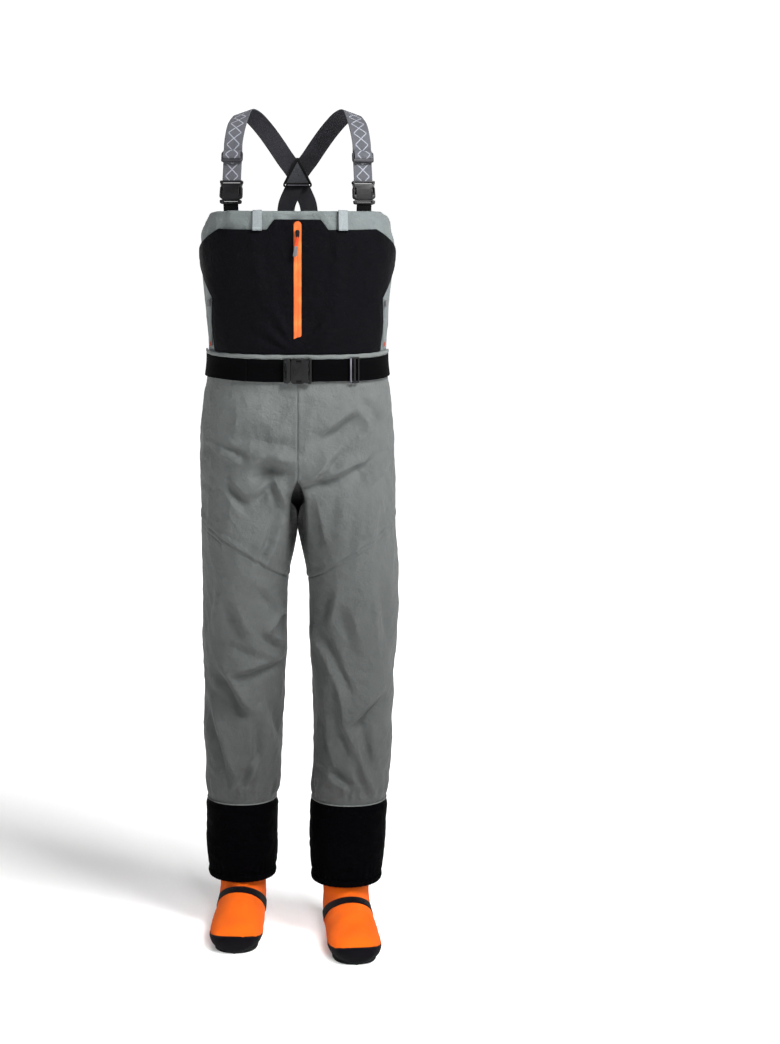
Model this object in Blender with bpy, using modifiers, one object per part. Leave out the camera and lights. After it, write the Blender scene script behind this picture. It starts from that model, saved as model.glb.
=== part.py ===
"""Stocking-foot chest waders: shell panels, chest pocket, suspenders, belt, gravel guards and booties.

Metres, +Z up. The wearer faces -Y, so the wearer's right side is at -X. The origin is on the floor,
under the middle of the waders.
"""
import bmesh
import bpy
from math import acos, cos, degrees, pi, radians, sin
from mathutils import Matrix, Vector

# ---------------------------------------------------------------- driving dimensions

FABRIC = 0.0016  # shell laminate
SEAM_GAP = 0.0010  # between neighbouring panels
TOUCH = 0.0004  # between hard pieces that touch

BELT_Z = 1.033  # middle of the belt, where bib and legs meet
BELT_WIDTH = 0.038
STRAP_WIDTH = 0.032
WEBBING = 0.0018

BIB_TOP_FRONT = 1.300
BIB_TOP_SIDE = 1.279
BIB_TOP_BACK = 1.274
CROTCH_FRONT_Z = 0.831
CROTCH_LOW_Z = 0.738
KNEE_OUTER_Z = 0.768
KNEE_INNER_Z = 0.660
ANKLE_Z = 0.165  # where the leg ends and the bootie begins, under the guard

LEG_SQUARENESS = 2.15  # superellipse power of the leg sections

# height, half width, depth in front of the origin, depth behind it, superellipse power
TORSO = (
    (0.831, 0.1670, 0.1180, 0.128, 2.35),
    (0.900, 0.1666, 0.1205, 0.129, 2.35),
    (0.954, 0.1637, 0.1190, 0.125, 2.4),
    (0.996, 0.1574, 0.1150, 0.119, 2.45),
    (1.033, 0.1525, 0.1125, 0.114, 2.5),
    (1.058, 0.1520, 0.1135, 0.113, 2.55),
    (1.100, 0.1540, 0.1145, 0.113, 2.6),
    (1.141, 0.1557, 0.1150, 0.114, 2.65),
    (1.182, 0.1590, 0.1155, 0.116, 2.7),
    (1.220, 0.1645, 0.1160, 0.117, 2.8),
    (1.250, 0.1622, 0.1163, 0.116, 2.9),
    (1.275, 0.1535, 0.1166, 0.113, 2.95),
    (1.300, 0.1430, 0.1168, 0.110, 3.0),
)

# height, centre x, centre y, half width, half depth
LEGS = {
    "right": (
        (0.800, -0.0835, 0.004, 0.0838, 0.117),
        (0.720, -0.0850, 0.014, 0.0828, 0.107),
        (0.650, -0.0915, 0.024, 0.0745, 0.097),
        (0.560, -0.0920, 0.038, 0.0748, 0.084),
        (0.470, -0.0930, 0.049, 0.0715, 0.079),
        (0.385, -0.0975, 0.061, 0.0695, 0.075),
        (0.300, -0.0975, 0.072, 0.0670, 0.072),
        (0.240, -0.0995, 0.080, 0.0610, 0.066),
        (0.165, -0.0985, 0.096, 0.0460, 0.052),
    ),
    "left": (
        (0.800, 0.0838, 0.004, 0.0838, 0.117),
        (0.720, 0.0880, 0.008, 0.0838, 0.107),
        (0.650, 0.0985, 0.011, 0.0770, 0.097),
        (0.560, 0.0980, 0.014, 0.0765, 0.084),
        (0.470, 0.0980, 0.016, 0.0710, 0.079),
        (0.385, 0.0980, 0.020, 0.0675, 0.075),
        (0.300, 0.0940, 0.025, 0.0680, 0.072),
        (0.250, 0.0910, 0.028, 0.0655, 0.069),
        (0.165, 0.0870, 0.036, 0.0460, 0.052),
    ),
}
SIDE_SIGN = {"right": -1.0, "left": 1.0}

# top and hem of the gravel guards: height, centre x, centre y, half width, half depth
GUARDS = {
    "right": ((0.241, -0.0997, 0.0800, 0.0640, 0.069), (0.094, -0.1000, 0.0940, 0.0585, 0.067)),
    "left": ((0.254, 0.0912, 0.0280, 0.0688, 0.072), (0.103, 0.0870, 0.0340, 0.0605, 0.068)),
}
GUARD_HEM = 0.012  # height of the elastic hem

# ankle centre x, centre y, toe-out in degrees
FEET = {"right": (-0.0985, 0.100, 2.0), "left": (0.0865, 0.038, 5.0)}
SOLE = 0.0030
NEOPRENE = 0.0035
# stations down the ankle and along the foot: forward, height, tilt, half width, half length
FOOT = (
    (0.000, 0.1640, 0, 0.0450, 0.0510),
    (0.000, 0.1300, 2, 0.0415, 0.0490),
    (0.001, 0.0960, 10, 0.0400, 0.0550),
    (0.001, 0.0643, 28, 0.0405, 0.0690),
    (0.010, 0.0465, 35, 0.0415, 0.0735),
    (0.035, 0.0385, 45, 0.0425, 0.0633),
    (0.067, 0.0353, 57, 0.0435, 0.0493),
    (0.102, 0.0320, 69, 0.0450, 0.0386),
    (0.143, 0.0270, 84, 0.0460, 0.0292),
    (0.176, 0.0240, 90, 0.0405, 0.0230),
    (0.194, 0.0215, 90, 0.0270, 0.0150),
)

TORSO_STEPS = 18  # columns from the front centre round one side to the back centre
INNER_STEPS = 6  # columns along the crotch
INNER_EDGE = 58.0  # where the centre seams run into the leg sections, degrees off front and back

COLLECTION = "chest_waders"
CUTTERS = "chest_waders_cutters"


# ---------------------------------------------------------------- scene and materials

def clear_scene():
    for obj in list(bpy.data.objects):
        bpy.data.objects.remove(obj, do_unlink=True)


def collection(name):
    made = bpy.data.collections.new(name)
    bpy.context.scene.collection.children.link(made)
    return made


def principled(name, colour, roughness, metallic=0.0):
    material = bpy.data.materials.new(name)
    material.use_nodes = True
    shader = material.node_tree.nodes["Principled BSDF"]
    shader.inputs["Base Color"].default_value = (*colour, 1.0)
    shader.inputs["Roughness"].default_value = roughness
    shader.inputs["Metallic"].default_value = metallic
    material.diffuse_color = (*colour, 1.0)
    return material


COLOURS = {
    "shell_grey": ((0.16, 0.185, 0.18), 0.85),
    "welt_grey": ((0.24, 0.26, 0.26), 0.85),
    "pocket_black": ((0.012, 0.012, 0.015), 0.8),
    "lining_grey": ((0.08, 0.09, 0.09), 0.9),
    "guard_black": ((0.006, 0.006, 0.008), 0.85),
    "bootie_orange": ((0.78, 0.13, 0.02), 0.8),
    "rubber_black": ((0.015, 0.014, 0.018), 0.7),
    "zip_orange": ((0.85, 0.22, 0.05), 0.5),
    "pull_grey": ((0.2, 0.2, 0.21), 0.5),
    "slider_black": ((0.02, 0.02, 0.02), 0.35),
    "webbing_black": ((0.006, 0.006, 0.007), 0.85),
    "webbing_grey": ((0.2, 0.2, 0.22), 0.85),
    "loop_grey": ((0.42, 0.45, 0.46), 0.8),
    "buckle_black": ((0.012, 0.012, 0.013), 0.35),
}


# ---------------------------------------------------------------- curves and sections

def station(table, height):
    """Values of a table of stations at a height, on a smooth curve through its rows."""
    rows = sorted(table)
    height = min(max(height, rows[0][0]), rows[-1][0])
    index = max(i for i in range(len(rows) - 1) if rows[i][0] <= height)
    before = rows[max(index - 1, 0)]
    start, end = rows[index], rows[index + 1]
    after = rows[min(index + 2, len(rows) - 1)]
    span = end[0] - start[0]
    t = (height - start[0]) / span
    values = []
    for column in range(1, len(start)):
        slope_start = (end[column] - before[column]) / (end[0] - before[0]) * span
        slope_end = (after[column] - start[column]) / (after[0] - start[0]) * span
        values.append(hermite(start[column], end[column], slope_start, slope_end, t))
    return values


def hermite(start, end, slope_start, slope_end, t):
    return (
        start * (2 * t**3 - 3 * t**2 + 1)
        + slope_start * (t**3 - 2 * t**2 + t)
        + end * (-2 * t**3 + 3 * t**2)
        + slope_end * (t**3 - t**2)
    )


def catmull(points, position):
    """Point on a spline through a list of points, at a position counted in points."""
    index = min(int(position), len(points) - 2)
    t = position - index
    start, end = points[index], points[index + 1]
    before = points[index - 1] if index else start * 2 - end
    after = points[index + 2] if index + 2 < len(points) else end * 2 - start
    return (
        start * 2
        + (end - before) * t
        + (before * 2 - start * 5 + end * 4 - after) * t**2
        + (start * 3 - before - end * 3 + after) * t**3
    ) * 0.5


def squircle(turn, power):
    """Unit superellipse: x and y at a turn in degrees from the front, towards +X."""
    s, c = sin(radians(turn)), cos(radians(turn))
    grow = 2.0 / power
    x = abs(s) ** grow * (1 if s >= 0 else -1)
    y = -abs(c) ** grow * (1 if c >= 0 else -1)
    return x, y


def torso_point(turn, height, lift=0.0):
    """Point of the body at a turn from the front centre (towards +X), lifted off its surface."""
    half_width, front, back, power = station(TORSO, height)
    x, y = squircle(turn, power)
    depth = front if y < 0 else back
    point = Vector((half_width * x, depth * y, height))
    if not lift:
        return point
    return point + torso_normal(turn, height) * lift


def torso_normal(turn, height):
    step = 0.5
    along = torso_point(turn + step, height) - torso_point(turn - step, height)
    up = torso_point(turn, height + 0.002) - torso_point(turn, height - 0.002)
    return along.cross(up).normalized()


def leg_point(side, turn, height, lift=0.0):
    """Point of a leg at a turn from its front, counted towards the outside of the leg."""
    centre_x, centre_y, half_width, half_depth = station(LEGS[side], height)
    x, y = squircle(turn, LEG_SQUARENESS)
    reach = SIDE_SIGN[side] * (half_width + lift)
    return Vector((centre_x + reach * x, centre_y + (half_depth + lift) * y, height))


def turn_at(x, height):
    """Turn of the body point whose x is given."""
    half_width, _, _, power = station(TORSO, height)
    share = min(1.0, abs(x) / half_width) ** (power / 2.0)
    turn = 90.0 - degrees(acos(share))
    return turn if x >= 0 else -turn


# ---------------------------------------------------------------- mesh builders

def add_object(name, data, material, into):
    obj = bpy.data.objects.new(name, data)
    obj.data.materials.append(bpy.data.materials[material])
    bpy.data.collections[into].objects.link(obj)
    return obj


def mesh_object(name, bm, material, smooth=True, into=COLLECTION):
    mesh = bpy.data.meshes.new(name)
    bm.to_mesh(mesh)
    bm.free()
    obj = add_object(name, mesh, material, into)
    if smooth:
        mesh.shade_smooth()
        mesh.set_sharp_from_angle(angle=radians(40))
    return obj


def solidify(obj, thickness, offset=-1.0):
    modifier = obj.modifiers.new("thickness", "SOLIDIFY")
    modifier.thickness = thickness
    modifier.offset = offset
    return obj


def grid_faces(bm, rows, closed=False, flip=False):
    """Quads between rows of vertices that run from left to right, seen from outside, top row first."""
    for upper, lower in zip(rows, rows[1:]):
        count = len(upper)
        for i in range(count if closed else count - 1):
            j = (i + 1) % count
            corners = [upper[i], lower[i], lower[j], upper[j]]
            bm.faces.new(corners[::-1] if flip else corners)


def sheet(name, rows, material, thickness, closed=False, flip=False, offset=-1.0):
    """A shell: the open surface through rows of points, with a thickness."""
    bm = bmesh.new()
    grid_faces(bm, [[bm.verts.new(p) for p in row] for row in rows], closed, flip)
    return solidify(mesh_object(name, bm, material), thickness, offset)


def spread(start, end, count):
    return [start + (end - start) * i / count for i in range(count + 1)]


def plate(name, outlines, thickness, frame, material):
    """A flat plate of filled outlines in a frame's xy plane, its middle on the frame's origin."""
    curve = bpy.data.curves.new(name, "CURVE")
    curve.dimensions = "2D"
    curve.fill_mode = "BOTH"
    curve.extrude = thickness / 2
    for outline in outlines:
        spline = curve.splines.new("POLY")
        spline.points.add(len(outline) - 1)
        for point, (x, y) in zip(spline.points, outline):
            point.co = (x, y, 0.0, 1.0)
        spline.use_cyclic_u = True
    obj = add_object(name, curve, material, COLLECTION)
    obj.matrix_world = frame
    return obj


def rounded(half_x, half_y, radius, centre=(0.0, 0.0), steps=3):
    """Outline of a rectangle with round corners."""
    points = []
    for quarter, (sx, sy) in enumerate(((1, 1), (-1, 1), (-1, -1), (1, -1))):
        for i in range(steps + 1):
            angle = radians(90 * (quarter + i / steps))
            x = centre[0] + sx * (half_x - radius) + radius * cos(angle)
            y = centre[1] + sy * (half_y - radius) + radius * sin(angle)
            points.append((x, y))
    return points


def box(name, size, frame, centre, material, into=COLLECTION):
    bm = bmesh.new()
    bmesh.ops.create_cube(bm, size=1.0)
    bmesh.ops.scale(bm, vec=size, verts=bm.verts)
    bmesh.ops.translate(bm, vec=centre, verts=bm.verts)
    obj = mesh_object(name, bm, material, smooth=False, into=into)
    obj.matrix_world = frame
    return obj


def cut(obj, cutter):
    cutter.hide_render = True
    cutter.display_type = "WIRE"
    modifier = obj.modifiers.new("cut", "BOOLEAN")
    modifier.operation = "DIFFERENCE"
    modifier.object = cutter
    return obj


def cut_box(obj, size, frame, centre):
    cutter = box(obj.name + "_cut", size, frame, centre, "buckle_black", CUTTERS)
    return cut(obj, cutter)


def frame_at(origin, along, normal):
    """Placing matrix: x is along, z is the outward normal, y completes them."""
    x = along.normalized()
    z = (normal - x * normal.dot(x)).normalized()
    y = z.cross(x)
    matrix = Matrix((x, y, z)).transposed().to_4x4()
    matrix.translation = origin
    return matrix


# ---------------------------------------------------------------- shell panels

def bib_top(turn):
    """Height of the bib's top edge at a turn from the front."""
    share = (1 - cos(radians(turn))) / 2  # 0 at the front, 1 at the back
    if share < 0.5:
        rise = 1 - min(1.0, share / 0.5) ** 2.2
        return BIB_TOP_SIDE + (BIB_TOP_FRONT - BIB_TOP_SIDE) * rise
    return BIB_TOP_SIDE + (BIB_TOP_BACK - BIB_TOP_SIDE) * (share - 0.5) * 2


def bib_panel(name, start, end, columns):
    bottom = BELT_Z + SEAM_GAP / 2
    rows = []
    for level in spread(1.0, 0.0, 8):
        row = []
        for turn in spread(start, end, columns):
            row.append(torso_point(turn, bottom + (bib_top(turn) - bottom) * level))
        rows.append(row)
    return sheet(name, rows, "shell_grey", FABRIC)


def make_bib():
    trim = 0.4  # degrees off each side seam
    bib_panel("bib_front", -90 + trim, 90 - trim, TORSO_STEPS + 2)
    bib_panel("bib_back", 90 + trim, 270 - trim, TORSO_STEPS + 2)


def crotch_point(share, side):
    """Crotch seam from the back centre (0) to the front centre (1)."""
    _, front, back, _ = station(TORSO, CROTCH_FRONT_Z)
    depth = back if share < 0.5 else -front
    y = depth * abs(cos(pi * share)) ** 1.5
    z = CROTCH_FRONT_Z - (CROTCH_FRONT_Z - CROTCH_LOW_Z) * sin(pi * share) ** 2
    return Vector((SIDE_SIGN[side] * SEAM_GAP / 2, y, z))


def outer_turns():
    return spread(0.0, 180.0, TORSO_STEPS)


def leg_turns():
    """Turns of a leg section's columns: the outer ones, then the ones along the crotch."""
    outer = spread(-INNER_EDGE, 180.0 + INNER_EDGE, TORSO_STEPS)
    inner = spread(180.0 + INNER_EDGE, 360.0 - INNER_EDGE, INNER_STEPS)
    return outer + inner[1:-1]


def knee_height(turn):
    """The knee seam runs down from the outside of the leg to the inside."""
    return KNEE_INNER_Z + (KNEE_OUTER_Z - KNEE_INNER_Z) * (1 + sin(radians(turn))) / 2


def thigh_height(turn):
    """Height of the last full section of the thigh above the knee seam."""
    return 0.715 + 0.040 * (1 + sin(radians(turn)))


def torso_row(side, height):
    row = []
    for turn in outer_turns():
        point = torso_point(SIDE_SIGN[side] * turn, height)
        if abs(point.x) < SEAM_GAP / 2:
            point.x = SIDE_SIGN[side] * SEAM_GAP / 2
        row.append(point)
    return row


def junction_row(side):
    inner = [crotch_point(i / INNER_STEPS, side) for i in range(1, INNER_STEPS)]
    return torso_row(side, CROTCH_FRONT_Z) + inner


def upper_leg(side):
    """Half of the seat and one thigh, from the belt to the knee seam."""
    torso_heights = (BELT_Z - SEAM_GAP / 2, 1.005, 0.975, 0.940, 0.900, 0.865)
    torso_rows = [torso_row(side, height) for height in torso_heights]
    thigh = [leg_point(side, turn, thigh_height(turn)) for turn in leg_turns()]
    knee = [leg_point(side, turn, knee_height(turn) + SEAM_GAP / 2) for turn in leg_turns()]
    calf = [leg_point(side, turn, 0.600) for turn in leg_turns()]
    keys = [torso_rows[-1], junction_row(side), thigh, calf]
    rows = [junction_row(side)]
    for share in (0.25, 0.5, 0.75):
        row = []
        for column in range(len(keys[1])):
            points = [key[column] for key in keys if column < len(key)]
            first = len(points) - 3
            row.append(catmull(points, first + share))
        rows.append(row)
    rows.append([a.lerp(b, 0.15) for a, b in zip(thigh, knee)])
    rows.append([a.lerp(b, 0.55) for a, b in zip(thigh, knee)])
    rows.append(knee)
    flip = side == "right"
    bm = bmesh.new()
    tube = [[bm.verts.new(point) for point in row] for row in rows]
    seat = [[bm.verts.new(point) for point in row] for row in torso_rows]
    seat.append(tube[0][: TORSO_STEPS + 1])
    grid_faces(bm, seat, flip=flip)
    grid_faces(bm, tube, closed=True, flip=flip)
    return solidify(mesh_object(f"upper_leg_{side}", bm, "shell_grey"), FABRIC)


def lower_leg(side):
    """One leg from the knee seam down to the ankle, under the gravel guard."""
    heights = (0.600, 0.540, 0.470, 0.385, 0.300, 0.245, 0.205, ANKLE_Z + SEAM_GAP / 2)
    rows = [[leg_point(side, turn, knee_height(turn) - SEAM_GAP / 2) for turn in leg_turns()]]
    rows.append([leg_point(side, turn, (knee_height(turn) + heights[0]) / 2) for turn in leg_turns()])
    for height in heights:
        rows.append([leg_point(side, turn, height) for turn in leg_turns()])
    flip = side == "right"
    return sheet(f"lower_leg_{side}", rows, "shell_grey", FABRIC, closed=True, flip=flip)


# ---------------------------------------------------------------- gravel guards and booties

def guard_point(side, turn, share, lift=0.0):
    """Point of a gravel guard, from its top seam (0) to its hem (1)."""
    top, hem = GUARDS[side]
    values = [a + (b - a) * share for a, b in zip(top, hem)]
    height, centre_x, centre_y, half_width, half_depth = values
    x, y = squircle(turn, LEG_SQUARENESS)
    reach = SIDE_SIGN[side] * (half_width + lift)
    return Vector((centre_x + reach * x, centre_y + (half_depth + lift) * y, height))


def make_guard(side):
    turns = spread(0.0, 360.0, 24)[:-1]
    top, hem = GUARDS[side]
    hem_share = 1 - GUARD_HEM / (top[0] - hem[0])
    gap = SEAM_GAP / (top[0] - hem[0])
    flip = side == "right"
    cuff_shares = spread(0.0, hem_share - gap, 5)
    rows = [[guard_point(side, turn, share) for turn in turns] for share in cuff_shares]
    sheet(f"gravel_guard_{side}", rows, "guard_black", FABRIC, closed=True, flip=flip)
    rows = [[guard_point(side, turn, share, 0.0006) for turn in turns] for share in (hem_share, 1.0)]
    sheet(f"guard_hem_{side}", rows, "guard_black", 0.0030, closed=True, flip=flip)


def foot_point(side, turn, position, lift=0.0):
    """Point of a foot section. Turn 0 is the shin and the top of the foot, 180 the heel and the sole."""
    forward, height, tilt, half_width, half_length = catmull_rows(FOOT, position)
    across, along = squircle(turn, 2.0)
    reach = -(half_length + lift) * along
    local_forward = forward + reach * cos(radians(tilt))
    z = height + reach * sin(radians(tilt))
    local_across = (half_width + lift) * across * SIDE_SIGN[side]
    ankle_x, ankle_y, toe_out = FEET[side]
    heading = radians(toe_out) * SIDE_SIGN[side]
    x = ankle_x + local_forward * sin(heading) + local_across * cos(heading)
    y = ankle_y - local_forward * cos(heading) + local_across * sin(heading)
    return Vector((x, y, max(z, SOLE + TOUCH)))


def catmull_rows(table, position):
    """Row of values between the rows of a table."""
    index = min(int(position), len(table) - 2)
    t = position - index
    values = []
    for column in range(len(table[0])):
        start, end = table[index][column], table[index + 1][column]
        before = table[index - 1][column] if index else 2 * start - end
        after = table[index + 2][column] if index + 2 < len(table) else 2 * end - start
        values.append(hermite(start, end, (end - before) / 2, (after - start) / 2, t))
    return values


def make_bootie(side):
    turns = spread(0.0, 360.0, 20)[:-1]
    flip = side == "right"
    bm = bmesh.new()
    rows = []
    for position in spread(0.0, 8.0, 9) + [8.6, 9.1, 9.6, 10.0]:
        rows.append([bm.verts.new(foot_point(side, turn, position)) for turn in turns])
    grid_faces(bm, rows, closed=True, flip=flip)
    toe = rows[-1]
    centre = sum((v.co for v in toe), Vector()) / len(toe)
    tip = bm.verts.new(centre + Vector((0.0, -0.004, 0.0)))
    for i, vertex in enumerate(toe):
        corners = [vertex, tip, toe[(i + 1) % len(toe)]]
        bm.faces.new(corners[::-1] if flip else corners)
    return solidify(mesh_object(f"bootie_{side}", bm, "bootie_orange"), NEOPRENE)


def foot_normal(side, turn, position):
    around = foot_point(side, turn + 2, position) - foot_point(side, turn - 2, position)
    down = foot_point(side, turn, position + 0.1) - foot_point(side, turn, position - 0.1)
    return (around.cross(-down) * SIDE_SIGN[side]).normalized()


def make_sole(side):
    """Flat outsole with the foot's outline."""
    ankle_x, ankle_y, toe_out = FEET[side]
    heading = radians(toe_out) * SIDE_SIGN[side]
    shape = (
        (-0.050, 0.000), (-0.046, 0.018), (-0.030, 0.030), (0.000, 0.032), (0.040, 0.029),
        (0.080, 0.031), (0.120, 0.038), (0.150, 0.038), (0.172, 0.031), (0.184, 0.018), (0.188, 0.000),
    )
    outline = [(x, y) for x, y in shape] + [(x, -y) for x, y in shape[-2:0:-1]]
    forward = Vector((sin(heading), -cos(heading), 0.0))
    frame = frame_at(Vector((ankle_x, ankle_y, SOLE / 2)), forward, Vector((0, 0, 1)))
    plate(f"bootie_sole_{side}", [outline], SOLE, frame, "rubber_black")


def make_toe_cap(side):
    """Rubber cap over the top of the toes."""
    rows = []
    for position in spread(8.6, 10.0, 4):
        row = []
        for turn in spread(-82, 82, 8):
            point = foot_point(side, turn, position)
            row.append(point + foot_normal(side, turn, position) * 0.0026)
        rows.append(row)
    sheet(f"toe_cap_{side}", rows, "rubber_black", 0.0014, flip=side == "right")


def make_instep_band(side):
    """Curved band from one side of the sole over the instep to the other side."""
    rows = []
    for edge in (-0.34, 0.34):
        row = []
        for turn in spread(-96, 96, 14):
            position = 5.45 + 0.35 * abs(turn / 96) ** 1.5 + edge
            point = foot_point(side, turn, position)
            row.append(point + foot_normal(side, turn, position) * 0.0034)
        rows.append(row)
    sheet(f"instep_band_{side}", rows, "rubber_black", 0.0012, flip=side == "right")


# ---------------------------------------------------------------- chest pocket and zips

POCKET_LIFT = 0.0050
POCKET_BOTTOM = 1.0605
POCKET_HALF_WIDTH = 0.137  # at its bottom edge
# top edge from the centre out: share of the half width, x, height
POCKET_TOP = (
    (0.00, 0.0000, 1.2862),
    (0.27, 0.0385, 1.2860),
    (0.37, 0.0515, 1.2690),
    (0.80, 0.1300, 1.2680),
)
POCKET_WING = (93.0, 1.2235)  # turn and height of its outermost corner
# side edge from the bottom up: share of the height, turn, height
POCKET_SIDE = ((0.28, 64.0, 1.110), (0.50, 61.0, 1.150), (0.74, 80.0, 1.190), (0.90, 93.0, 1.206))


def interpolate(table, share):
    for (s0, *a), (s1, *b) in zip(table, table[1:]):
        if share <= s1:
            t = (share - s0) / (s1 - s0)
            return [u + (v - u) * t for u, v in zip(a, b)]
    return list(table[-1][1:])


def pocket_point(across, up, lift):
    """Pocket panel: across from -1 to 1, up from 0 to 1, a patch between its four edges."""
    side = 1.0 if across >= 0 else -1.0
    share = abs(across)
    corner_turn = turn_at(POCKET_HALF_WIDTH, POCKET_BOTTOM)
    bottom_turn, bottom_z = corner_turn * share, POCKET_BOTTOM
    top_edge = [(s, turn_at(x, z), z) for s, x, z in POCKET_TOP] + [(1.0, *POCKET_WING)]
    top_turn, top_z = interpolate(top_edge, share)
    side_edge = [(0.0, corner_turn, POCKET_BOTTOM), *POCKET_SIDE, (1.0, *POCKET_WING)]
    edge_turn, edge_z = interpolate(side_edge, up)
    straight_turn = corner_turn + (POCKET_WING[0] - corner_turn) * up
    straight_z = POCKET_BOTTOM + (POCKET_WING[1] - POCKET_BOTTOM) * up
    turn = bottom_turn * (1 - up) + top_turn * up + (edge_turn - straight_turn) * share
    height = bottom_z * (1 - up) + top_z * up + (edge_z - straight_z) * share
    return torso_point(side * turn, height, lift)


def make_pocket():
    half = [0.0, 0.14, 0.27, 0.37, 0.46, 0.54, 0.62, 0.68, 0.74, 0.80, 0.85, 0.90, 0.95, 1.0]
    columns = [-share for share in half[:0:-1]] + half
    levels = (1.0, 0.9, 0.82, 0.74, 0.62, 0.50, 0.39, 0.28, 0.14, 0.0)
    rows = [[pocket_point(across, up, POCKET_LIFT) for across in columns] for up in levels]
    sheet("chest_pocket", rows, "pocket_black", 0.0014)
    rows = []
    for height in spread(1.245, 1.075, 6):
        rows.append([torso_point(turn, height, 0.0020) for turn in spread(-49, 49, 14)])
    sheet("pocket_bag", rows, "lining_grey", 0.0007)
    rows = []
    for height in (1.0596, 1.0540):
        rows.append([torso_point(turn, height, 0.0026) for turn in spread(-85.5, 85.5, 19)])
    sheet("pocket_welt", rows, "welt_grey", 0.0012)


ZIP_TOP, ZIP_BOTTOM = 1.2835, 1.0900
ZIP_HALF_WIDTH = 0.0065
ZIP_LIFT = POCKET_LIFT + 0.0018
SLIDER_Z = 1.2640


def make_chest_zip():
    """Coated zip down the middle of the pocket: tape, slider and a pull that hangs from it."""
    length = ZIP_TOP - ZIP_BOTTOM
    top = torso_point(0.0, ZIP_TOP, ZIP_LIFT)
    bottom = torso_point(0.0, ZIP_BOTTOM, ZIP_LIFT)
    frame = frame_at(bottom, top - bottom, Vector((0, -1, 0)))
    tape = rounded(length / 2, ZIP_HALF_WIDTH, 0.004, (length / 2, 0.0))
    plate("chest_zip_tape", [tape], 0.0012, frame, "zip_orange")
    slider = frame_at(torso_point(0.0, SLIDER_Z, ZIP_LIFT + 0.0030), top - bottom, Vector((0, -1, 0)))
    plate("chest_zip_slider", [rounded(0.0060, 0.0045, 0.0020)], 0.0034, slider, "slider_black")
    hinge = slider @ Matrix.Translation((0.0, 0.0, 0.0034))
    shape = [
        (0.0008, -0.0030), (0.0008, 0.0030), (-0.0120, 0.0024), (-0.0160, 0.0032), (-0.0360, 0.0036),
        (-0.0380, 0.0020), (-0.0380, -0.0020), (-0.0360, -0.0036), (-0.0160, -0.0032), (-0.0120, -0.0024),
    ]
    plate("chest_zip_pull", [shape], 0.0022, hinge, "pull_grey")


SIDE_ZIP_X = 0.1445
SIDE_ZIP_Z = (1.0680, 1.1500)
SIDE_ZIP_LIFT = 0.0030


def side_zip_point(side, height, lift):
    turn = turn_at(SIDE_ZIP_X, height)
    return torso_point(SIDE_SIGN[side] * turn, height, lift)


def make_side_zip(side):
    """Hand-warmer zip beside the pocket's lower edge, with its slider at the top."""
    low, high = SIDE_ZIP_Z
    rows = []
    for height in spread(high, low, 5):
        turn = SIDE_SIGN[side] * turn_at(SIDE_ZIP_X, height)
        edges = (turn - 1.9, turn, turn + 1.9)
        rows.append([torso_point(edge, height, SIDE_ZIP_LIFT) for edge in edges])
    sheet(f"side_zip_{side}", rows, "zip_orange", 0.0010)
    top, bottom = side_zip_point(side, high, 0.0), side_zip_point(side, low, 0.0)
    height = high - 0.008
    turn = SIDE_SIGN[side] * turn_at(SIDE_ZIP_X, height)
    normal = torso_normal(turn, height)
    frame = frame_at(torso_point(turn, height, SIDE_ZIP_LIFT + 0.0032), top - bottom, normal)
    plate(f"side_zip_slider_{side}", [rounded(0.0055, 0.0035, 0.0015)], 0.0030, frame, "slider_black")


# ---------------------------------------------------------------- webbing

def ribbon(name, path, width, thickness, material):
    """Webbing along a path of points and outward normals."""
    rows = []
    for index, (point, normal) in enumerate(path):
        before = path[max(index - 1, 0)][0]
        after = path[min(index + 1, len(path) - 1)][0]
        across = normal.cross(after - before).normalized() * width / 2
        rows.append([point + across, point, point - across])
    return sheet(name, rows, material, thickness, offset=0.0)


BIB_LOOP_X = {"right": -0.0660, "left": 0.0745}
BIB_LOOP_HALF_WIDTH = 0.0078
# height and lift off the bib, from its top end to its bottom end
BIB_LOOP_PATH = ((1.3010, 0.0030), (1.2980, 0.0046), (1.2850, 0.0056), (1.2720, 0.0046), (1.2680, 0.0030))


def make_bib_loop(side):
    """Webbing loop sewn to the bib's top edge at both ends."""
    x = BIB_LOOP_X[side]
    rows = []
    for height, lift in BIB_LOOP_PATH:
        edges = [turn_at(x + step * BIB_LOOP_HALF_WIDTH, height) for step in (-1, 0, 1)]
        rows.append([torso_point(turn, height, lift + bib_loop_clear(height)) for turn in edges])
    sheet(f"bib_loop_{side}", rows, "loop_grey", 0.0014)


def bib_loop_clear(height):
    """The loops' lower ends lie over the pocket's shoulders."""
    return POCKET_LIFT if height < 1.270 else 0.0


BELT_LIFT = 0.0042
BUCKLE_HALF = 0.0235
BELT_END = (-0.083, -0.0265)  # x of the webbing that follows the belt's plug
BUCKLE_FRONT_Y = -0.1205  # middle of the belt's buckle
KEEPER_X = 0.093
KEEPER_LIFT = 0.0027  # off the belt
BELT_LOOP_TURN = 118.0
# height and lift off the shell, from the top end to the bottom end
BELT_LOOP_PATH = ((1.0600, 0.0030), (1.0560, 0.0078), (1.0330, 0.0082), (1.0100, 0.0078), (1.0060, 0.0030))


def belt_rows(turns, lift=BELT_LIFT):
    half = BELT_WIDTH / 2
    heights = (BELT_Z + half, BELT_Z, BELT_Z - half)
    return [[torso_point(turn, height, lift) for turn in turns] for height in heights]


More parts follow.
